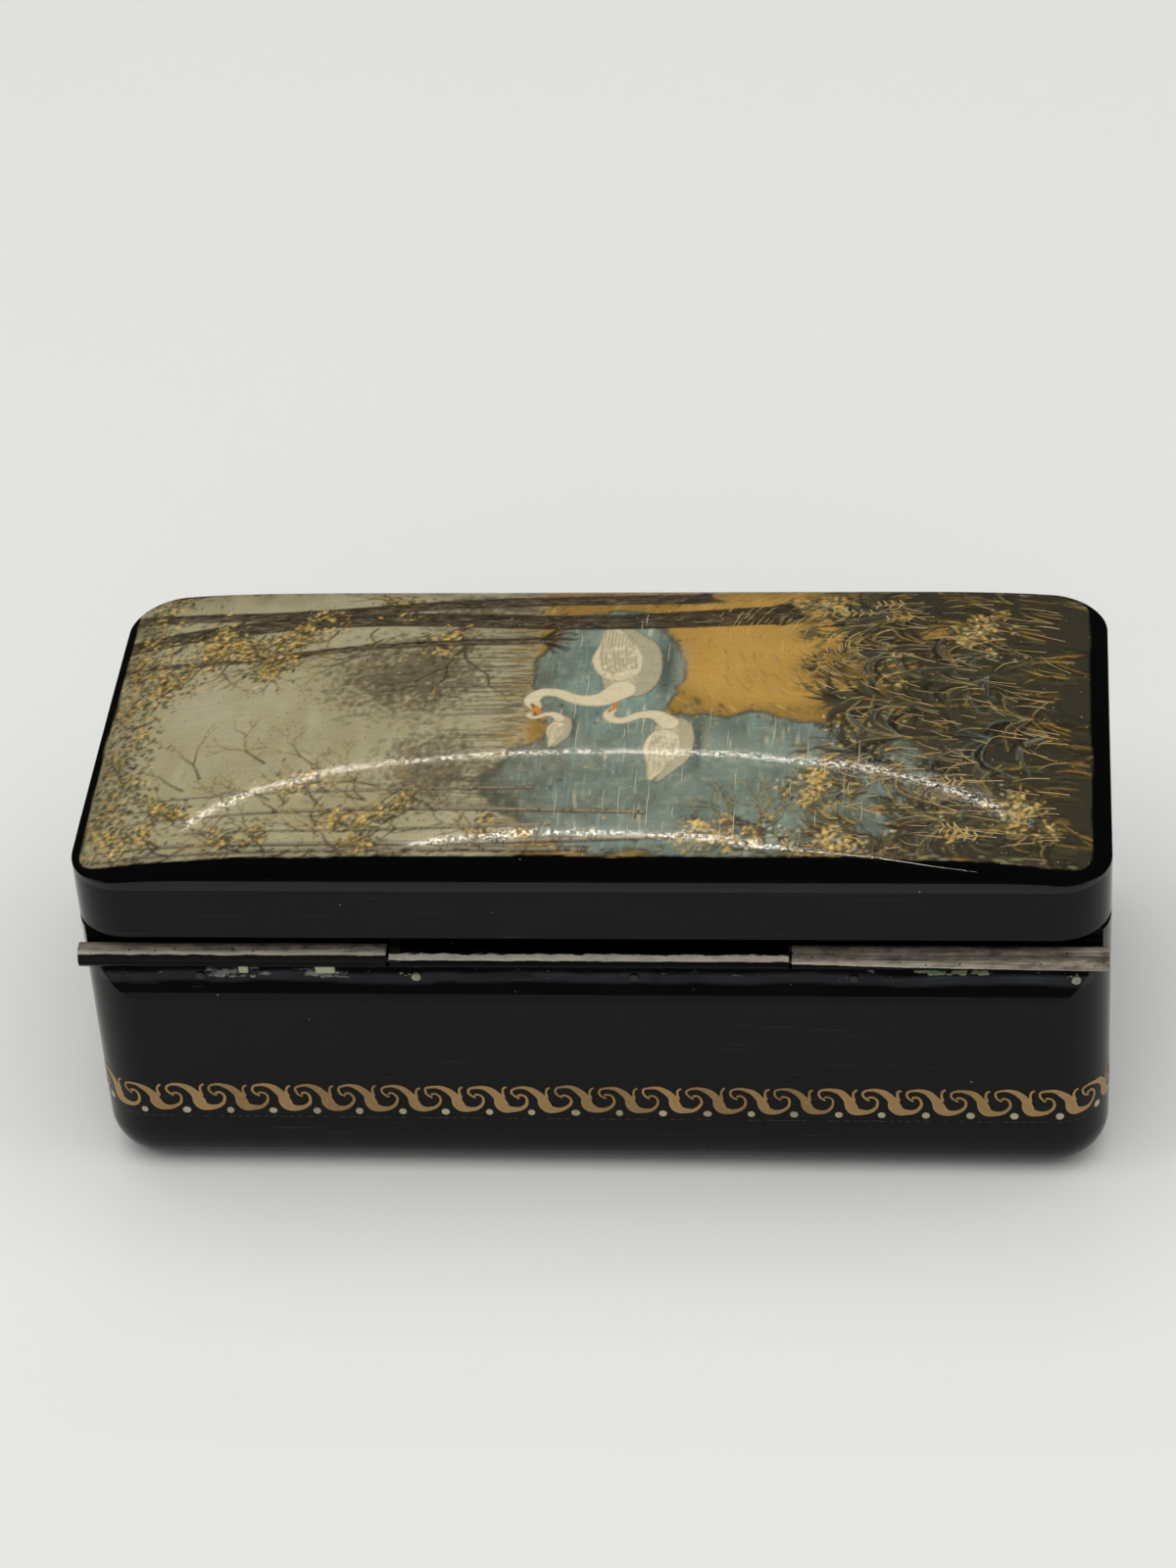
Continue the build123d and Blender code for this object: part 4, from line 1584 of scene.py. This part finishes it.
# Lumps on the ledge, in millimetres: from and to along X, count, least and greatest size,
# and the shares of the ledge's height that they lie between
green_lumps = (
    (-42, -34.5, 70, 0.08, 0.44, 0.83, 0.96),
    (-52.3, -50.4, 8, 0.08, 0.20, 0.72, 0.84),
    (18.8, 20.6, 9, 0.06, 0.22, 0.70, 0.78),
)
pale_lumps = (
    (26.5, 30, 14, 0.08, 0.30, 0.66, 0.80),
    (36, 41, 12, 0.08, 0.30, 0.66, 0.80),
    (-33, 12, 12, 0.05, 0.10, 0.3, 0.9),
)
# Tabs at the leaf's lower edge: place along X and width
leaf_tabs = ((37.0 * MM, 1.0 * MM), (28.2 * MM, 2.1 * MM))
tab_out = 0.95 * MM
tab_drop = 1.12 * MM
tab_half_thick = 0.20 * MM
tab_half_tall = 0.50 * MM


class BOX_OT_ledge(bpy.types.Operator):
    """Add the crusts, chips and tabs on the ledge under the hinge"""

    bl_idname = "lacquer_box.ledge"
    bl_label = "Weather the ledge"

    def execute(self, context):
        metal = context.scene.box_metal
        lacquer = context.scene.box_lacquer
        random = np.random.default_rng(21)
        green = Piece()
        for lumps in green_lumps:
            scatter_lumps(green, random, *lumps)
        crust = crust_finish("verdigris", metal.verdigris, toned(metal.verdigris, 0.45))
        green.build("verdigris_crust", crust, "base", "hinge_metal")
        pale = Piece()
        for lumps in pale_lumps:
            scatter_lumps(pale, random, *lumps)
        chips = crust_finish("chipped ground", lacquer.chip, lacquer.ledge)
        pale.build("ledge_chips", chips, "base", "black_lacquer")
        tabs = Piece()
        for x, wide in leaf_tabs:
            middle = (x, barrel_y + tab_out, barrel_z - tab_drop)
            tab(tabs, middle, (wide / 2, tab_half_thick, tab_half_tall))
        grey = tuple(value * 1.25 + 0.06 for value in metal.verdigris)
        tabs.build("leaf_edge_tabs", crust_finish("tab metal", grey, metal.bare), "base", "hinge_metal")
        return {"FINISHED"}


def lump(piece, random, centre, sizes, ragged):
    """Small closed lump, uneven all over."""
    work = bmesh.new()
    bmesh.ops.create_icosphere(work, subdivisions=2, radius=1.0)
    points = np.array([vertex.co[:] for vertex in work.verts])
    faces = [[vertex.index for vertex in face.verts] for face in work.faces]
    work.free()
    points *= 1 + random.normal(0.0, ragged, (len(points), 1))
    points = np.sign(points) * np.abs(points) ** 0.8
    piece.add(points * np.array(sizes) + np.array(centre), faces)


def tab(piece, centre, sizes):
    """Small upright plate with bevelled edges."""
    work = bmesh.new()
    bmesh.ops.create_cube(work, size=2.0, matrix=Matrix.Diagonal((*sizes, 1.0)))
    bmesh.ops.bevel(work, geom=work.edges, offset=min(sizes) * 0.45, segments=2, affect="EDGES")
    points = np.array([vertex.co[:] for vertex in work.verts]) + np.array(centre)
    faces = [[vertex.index for vertex in face.verts] for face in work.faces]
    work.free()
    piece.add(points, faces)


def scatter_lumps(piece, random, low_x, high_x, count, smallest, largest, low, high):
    """Low lumps scattered over the sloping ledge between two places along it, in millimetres."""
    top_z = barrel_z - barrel_radius - recess_gap
    foot_z = barrel_z - ledge_drop
    for _ in range(count):
        size = random.uniform(smallest * MM, largest * MM)
        z = foot_z + (top_z - foot_z) * random.uniform(low, high)
        y = half_width - (half_width - barrel_y) * (z - foot_z) / (top_z - foot_z)
        centre = (random.uniform(low_x * MM, high_x * MM), y - 0.02 * MM, z)
        lump(piece, random, centre, (size, size * 0.28, size * random.uniform(0.4, 0.8)), 0.14)


class BOX_OT_border(bpy.types.Operator):
    """Paint the running scroll round the foot of the box"""

    bl_idname = "lacquer_box.border"
    bl_label = "Paint the border"

    def execute(self, context):
        paint_border(context.scene.box_border)
        return {"FINISHED"}


class BOX_OT_lid(bpy.types.Operator):
    """Model the domed lid board and paint the picture on it"""

    bl_idname = "lacquer_box.lid"
    bl_label = "Paint the lid"

    def execute(self, context):
        settings = context.scene.box_picture
        lacquer = context.scene.box_lacquer
        points, faces, top_count, inside_start = lid_mesh()
        mesh = bpy.data.meshes.new("painted_lid_top")
        mesh.from_pydata(points.tolist(), [], faces)
        paint = np.zeros((len(points), 4), dtype=np.float32)
        x = points[:top_count, 0]
        y = points[:top_count, 1]
        paint[:top_count, :3] = paint_picture(settings).read(-y / MM, x / MM)
        paint[:top_count, 3] = picture_mask(x, y, settings.margin)
        inside = np.zeros(len(points), dtype=np.float32)
        inside[inside_start:] = 1.0
        mesh.attributes.new("inside", "FLOAT", "POINT").data.foreach_set("value", inside)
        layer = mesh.attributes.new("paint", "FLOAT_COLOR", "POINT")
        layer.data.foreach_set("color", paint.ravel())
        lid = bpy.data.objects.new("painted_lid_top", mesh)
        context.scene.collection.objects.link(lid)
        smooth_out(lid, 45.0)
        mesh.materials.append(picture_finish(lacquer.black, lacquer.red))
        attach(lid, "lid")
        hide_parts("lid_top")
        return {"FINISHED"}


# Ovals that the ripples and the bank's gold hatching keep inside
ripple_reach = (-11.0, -12.0, 11.0, 23.0)
ripple_pool = (7.0, -1.5, 13.0, 8.6)
hatched_bank = (12.0, -17.0, 12.0, 12.0)
# Room that the fine lines leave to the lid's edge, and how they stand on it
fine_line_room = 2.9 * MM
fine_line_lift = 0.02 * MM
fine_line_sink = -0.04 * MM


class BOX_OT_gold(bpy.types.Operator):
    """Draw the fine gold and cream lines over the picture"""

    bl_idname = "lacquer_box.gold"
    bl_label = "Draw the fine lines"

    def execute(self, context):
        colours = context.scene.box_picture
        random = np.random.default_rng(8)
        blades = Piece()
        for _ in range(230):
            u = random.uniform(-22.4, 22.4)
            v = random.uniform(-51.0, -26.0)
            near = (-v - 26.0) / 25.0
            tall = random.uniform(1.4, 3.4) * (0.75 + 0.6 * near)
            if v + tall > -24.0:
                tall *= 0.6
            line = blade(random, u, v, tall, random.normal(0.1, 0.9), random.uniform(0.035, 0.065))
            fine_line(blades, line, random.random())
        for _ in range(7):
            u = random.choice((-1, 1)) * random.uniform(9.0, 22.0)
            v = random.uniform(-48.0, -27.0)
            sprig(blades, random, u, v)
        hatch_halves = [0.01, 0.035, 0.045, 0.035, 0.01]
        for _ in range(260):
            ring = random.uniform(2.0, 19.0)
            turn = random.uniform(0.15, 2.9)
            arc = random.uniform(0.8, 2.6) / ring
            angles = np.linspace(turn, turn + arc, 5)
            u = bank_foot[0] + ring * np.cos(angles)
            v = bank_foot[1] + ring * np.sin(angles)
            if from_middle(u[2], v[2], hatched_bank) < 0.95:
                fine_line(blades, np.column_stack([u, v, hatch_halves]), random.random())
        gold_line = gold_finish("gold line", colours.gold, colours.cream)
        blades.build("gold_grass_lines", gold_line, "lid", "painted_lacquer")
        ripples = Piece()
        for _ in range(80):
            u = random.uniform(-21.0, 19.0)
            v = random.uniform(-30.0, 6.5)
            if min(from_middle(u, v, ripple_reach), from_middle(u, v, ripple_pool)) > 0.9:
                continue
            long = random.uniform(0.5, 2.2)
            bow = random.normal(0, 0.08)
            line = flow([(u - long, v, 0.015), (u, v + bow, 0.035), (u + long, v, 0.015)], 3)
            fine_line(ripples, line, random.random())
        pale = toned(colours.cream, 0.95)
        ripples.build("ripple_lines", gold_finish("ripple line", pale, pale), "lid", "painted_lacquer")
        return {"FINISHED"}


def fine_line(piece, line, tone):
    """Thin raised line on the lid, given in millimetres of the upright picture."""
    rows = np.asarray(line) * MM
    past_u, past_v = np.abs(rows[:, :2]).max(axis=0) - (half_width, half_length)
    if max(past_u, past_v) <= -fine_line_room:
        brush_mark(piece, rows, on_the_picture, fine_line_lift, fine_line_sink, 2, tone=tone)


def sprig(piece, random, u, v):
    """Small plant: a stem with pairs of leaves."""
    tall = random.uniform(3.0, 6.0)
    lean = random.normal(0, 0.8)
    stem = blade(random, u, v, tall, lean, 0.05)
    fine_line(piece, stem, random.random())
    for index in range(2, len(stem) - 1):
        for side in (-1, 1):
            start = stem[index]
            reach = random.uniform(0.5, 1.1)
            middle = (start[0] + side * reach * 0.5, start[1] + reach * 0.45, 0.11)
            end = (start[0] + side * reach, start[1] + reach * 0.6, 0.02)
            fine_line(piece, flow([(start[0], start[1], 0.02), middle, end], 3), random.random())


def add_lamp(name, place, target, wide, tall, power, glossy=True, colour=(1.0, 1.0, 1.0)):
    """Oblong lamp at a place, turned to a target, that reflections may leave out."""
    data = bpy.data.lights.new(name, "AREA")
    data.color = colour
    data.shape = "RECTANGLE"
    data.size = wide
    data.size_y = tall
    data.energy = power
    lamp = bpy.data.objects.new(name, data)
    lamp.location = place
    lamp.rotation_euler = (Vector(target) - Vector(place)).to_track_quat("-Z", "Y").to_euler()
    lamp.visible_glossy = glossy
    bpy.context.scene.collection.objects.link(lamp)


# Camera of the photograph's angle, in the part's frame
camera_place = Vector((-0.0460758, 0.3900535, 0.3382971))
camera_look = Vector((0.0962020, -0.7848023, -0.6122340))
camera_up = Vector((0.0011958, -0.6149954, 0.7885298))
camera_lens = 104.2034
# Floor: how far it reaches, and between what distances it turns into the backdrop for the camera
floor_reach = 12.0
far_floor = (0.45, 1.1)
# Room that the light and the reflections see: near the horizon and overhead
horizon_grey = (0.10, 0.10, 0.10)
overhead_grey = (0.030, 0.031, 0.033)
strip_distance = 2.0
strip_colour = (1.0, 0.92, 0.78)
strip_width = 0.012
# Elevation, middle along X, length and share of the power of each strip lamp
strips = ((46.2, 0.18, 1.05, 1.0), (58.6, 0.06, 0.52, 1.5))


def floor_finish(settings):
    """Pale paper that turns into the backdrop far off, for the camera alone."""
    finish = Finish("floor paper")
    cloud = finish.noise(finish.place(), 60 * MM)
    pale = finish.mix(cloud * 0.3, settings.floor, toned(settings.floor, 0.975))
    x, y, _ = finish.split(finish.place())
    seen = finish.make("ShaderNodeLightPath", output="Is Camera Ray")
    far = ((x * x + y * y) ** 0.5).ramp(*far_floor) * seen
    paper = finish.shader(Base_Color=pale, Roughness=0.75, Specular_IOR_Level=0.1)
    glow = finish.make("ShaderNodeEmission", inputs={"Color": settings.backdrop})
    whole = finish.make("ShaderNodeMixShader", inputs={0: far, 1: paper, 2: glow})
    finish.make("ShaderNodeOutputMaterial", inputs={"Surface": whole})
    return finish.owner


def surroundings(backdrop):
    """Dim room for light and reflections; the camera itself sees a pale backdrop."""
    finish = Finish("studio", "worlds")
    direction = finish.make("ShaderNodeTexCoord", output="Generated")
    height = finish.split(direction)[2]
    colour = finish.mix(height.ramp(0.02, 0.34), horizon_grey, overhead_grey)
    seen = finish.make("ShaderNodeLightPath", output="Is Camera Ray")
    colour = finish.mix(seen, colour, backdrop)
    shade = finish.make("ShaderNodeBackground", inputs={"Color": colour, "Strength": 1.0})
    finish.make("ShaderNodeOutputWorld", inputs={"Surface": shade})
    return finish.owner


def add_camera(scene):
    """Camera that sees the box as the photograph does."""
    data = bpy.data.cameras.new("camera")
    data.lens = camera_lens
    camera = bpy.data.objects.new("camera", data)
    right = camera_look.cross(camera_up).normalized()
    turn = Matrix((right, camera_up, -camera_look)).transposed()
    camera.matrix_world = Matrix.Translation(camera_place) @ turn.to_4x4()
    scene.collection.objects.link(camera)
    scene.camera = camera


class BOX_OT_stage(bpy.types.Operator):
    """Set the floor, the lamps, the surroundings and the camera"""

    bl_idname = "lacquer_box.stage"
    bl_label = "Set the stage"

    def execute(self, context):
        scene = context.scene
        settings = scene.box_studio
        mesh = bpy.data.meshes.new("floor")
        corners = [(floor_reach * x, floor_reach * y, 0) for x, y in ((-1, -1), (1, -1), (1, 1), (-1, 1))]
        mesh.from_pydata(corners, [], [(0, 1, 2, 3)])
        floor = bpy.data.objects.new("floor", mesh)
        scene.collection.objects.link(floor)
        mesh.materials.append(floor_finish(settings))
        scene.world = surroundings(settings.backdrop)
        soft = settings.soft_lamp
        side = settings.side_lamp
        add_lamp("overhead soft lamp", (0.03, 0.15, 1.5), (0, 0, 0), 2.4, 2.0, soft, glossy=False)
        add_lamp("front soft lamp", (0.0, 1.8, 1.0), (0, 0, 0.02), 1.8, 0.8, side * 2, glossy=False)
        add_lamp("left soft lamp", (1.5, 0.3, 0.9), (0, 0, 0.02), 1.0, 0.9, side)
        add_lamp("right soft lamp", (-1.5, 0.2, 0.9), (0, 0, 0.02), 1.0, 0.9, side)
        for index, (elevation, middle, long, share) in enumerate(strips):
            angle = math.radians(elevation)
            place = (middle, -strip_distance * math.cos(angle), strip_distance * math.sin(angle))
            power = settings.strip_lamp * long * share
            target = (middle, 0, crown_z)
            add_lamp(f"strip lamp {index + 1}", place, target, long, strip_width, power, colour=strip_colour)
        add_camera(scene)
        scene.view_settings.view_transform = "Standard"
        return {"FINISHED"}


class BOX_PT_panel(bpy.types.Panel):
    """Sidebar panel with every step"""

    bl_label = "Lacquer box"
    bl_space_type = "VIEW_3D"
    bl_region_type = "UI"
    bl_category = "Lacquer box"

    def draw(self, context):
        """Lists a button for each step, then the settings."""
        for operator in operators:
            self.layout.operator(operator.bl_idname)
        for name in settings_groups:
            box = self.layout.box()
            group = getattr(context.scene, name)
            for prop in group.bl_rna.properties:
                if prop.identifier not in ("name", "rna_type"):
                    box.prop(group, prop.identifier)


operators = (
    BOX_OT_stage, BOX_OT_lacquer, BOX_OT_hinge, BOX_OT_ledge, BOX_OT_border, BOX_OT_lid, BOX_OT_gold,
)
settings_groups = {
    "box_studio": Studio,
    "box_lacquer": Lacquer,
    "box_metal": Metal,
    "box_picture": Picture,
    "box_border": Border,
}


def register():
    """Registers the groups of settings, the operators and the panel."""
    for group in settings_groups.values():
        bpy.utils.register_class(group)
    for name, group in settings_groups.items():
        setattr(bpy.types.Scene, name, PointerProperty(type=group))
    for operator in operators:
        bpy.utils.register_class(operator)
    bpy.utils.register_class(BOX_PT_panel)


def unregister():
    """Undoes what register did."""
    bpy.utils.unregister_class(BOX_PT_panel)
    for operator in reversed(operators):
        bpy.utils.unregister_class(operator)
    for name in settings_groups:
        delattr(bpy.types.Scene, name)
    for group in settings_groups.values():
        bpy.utils.unregister_class(group)


def main():
    """Runs every step."""
    register()
    for operator in operators:
        group, name = operator.bl_idname.split(".")
        getattr(getattr(bpy.ops, group), name)()


if __name__ == "__main__":
    main()
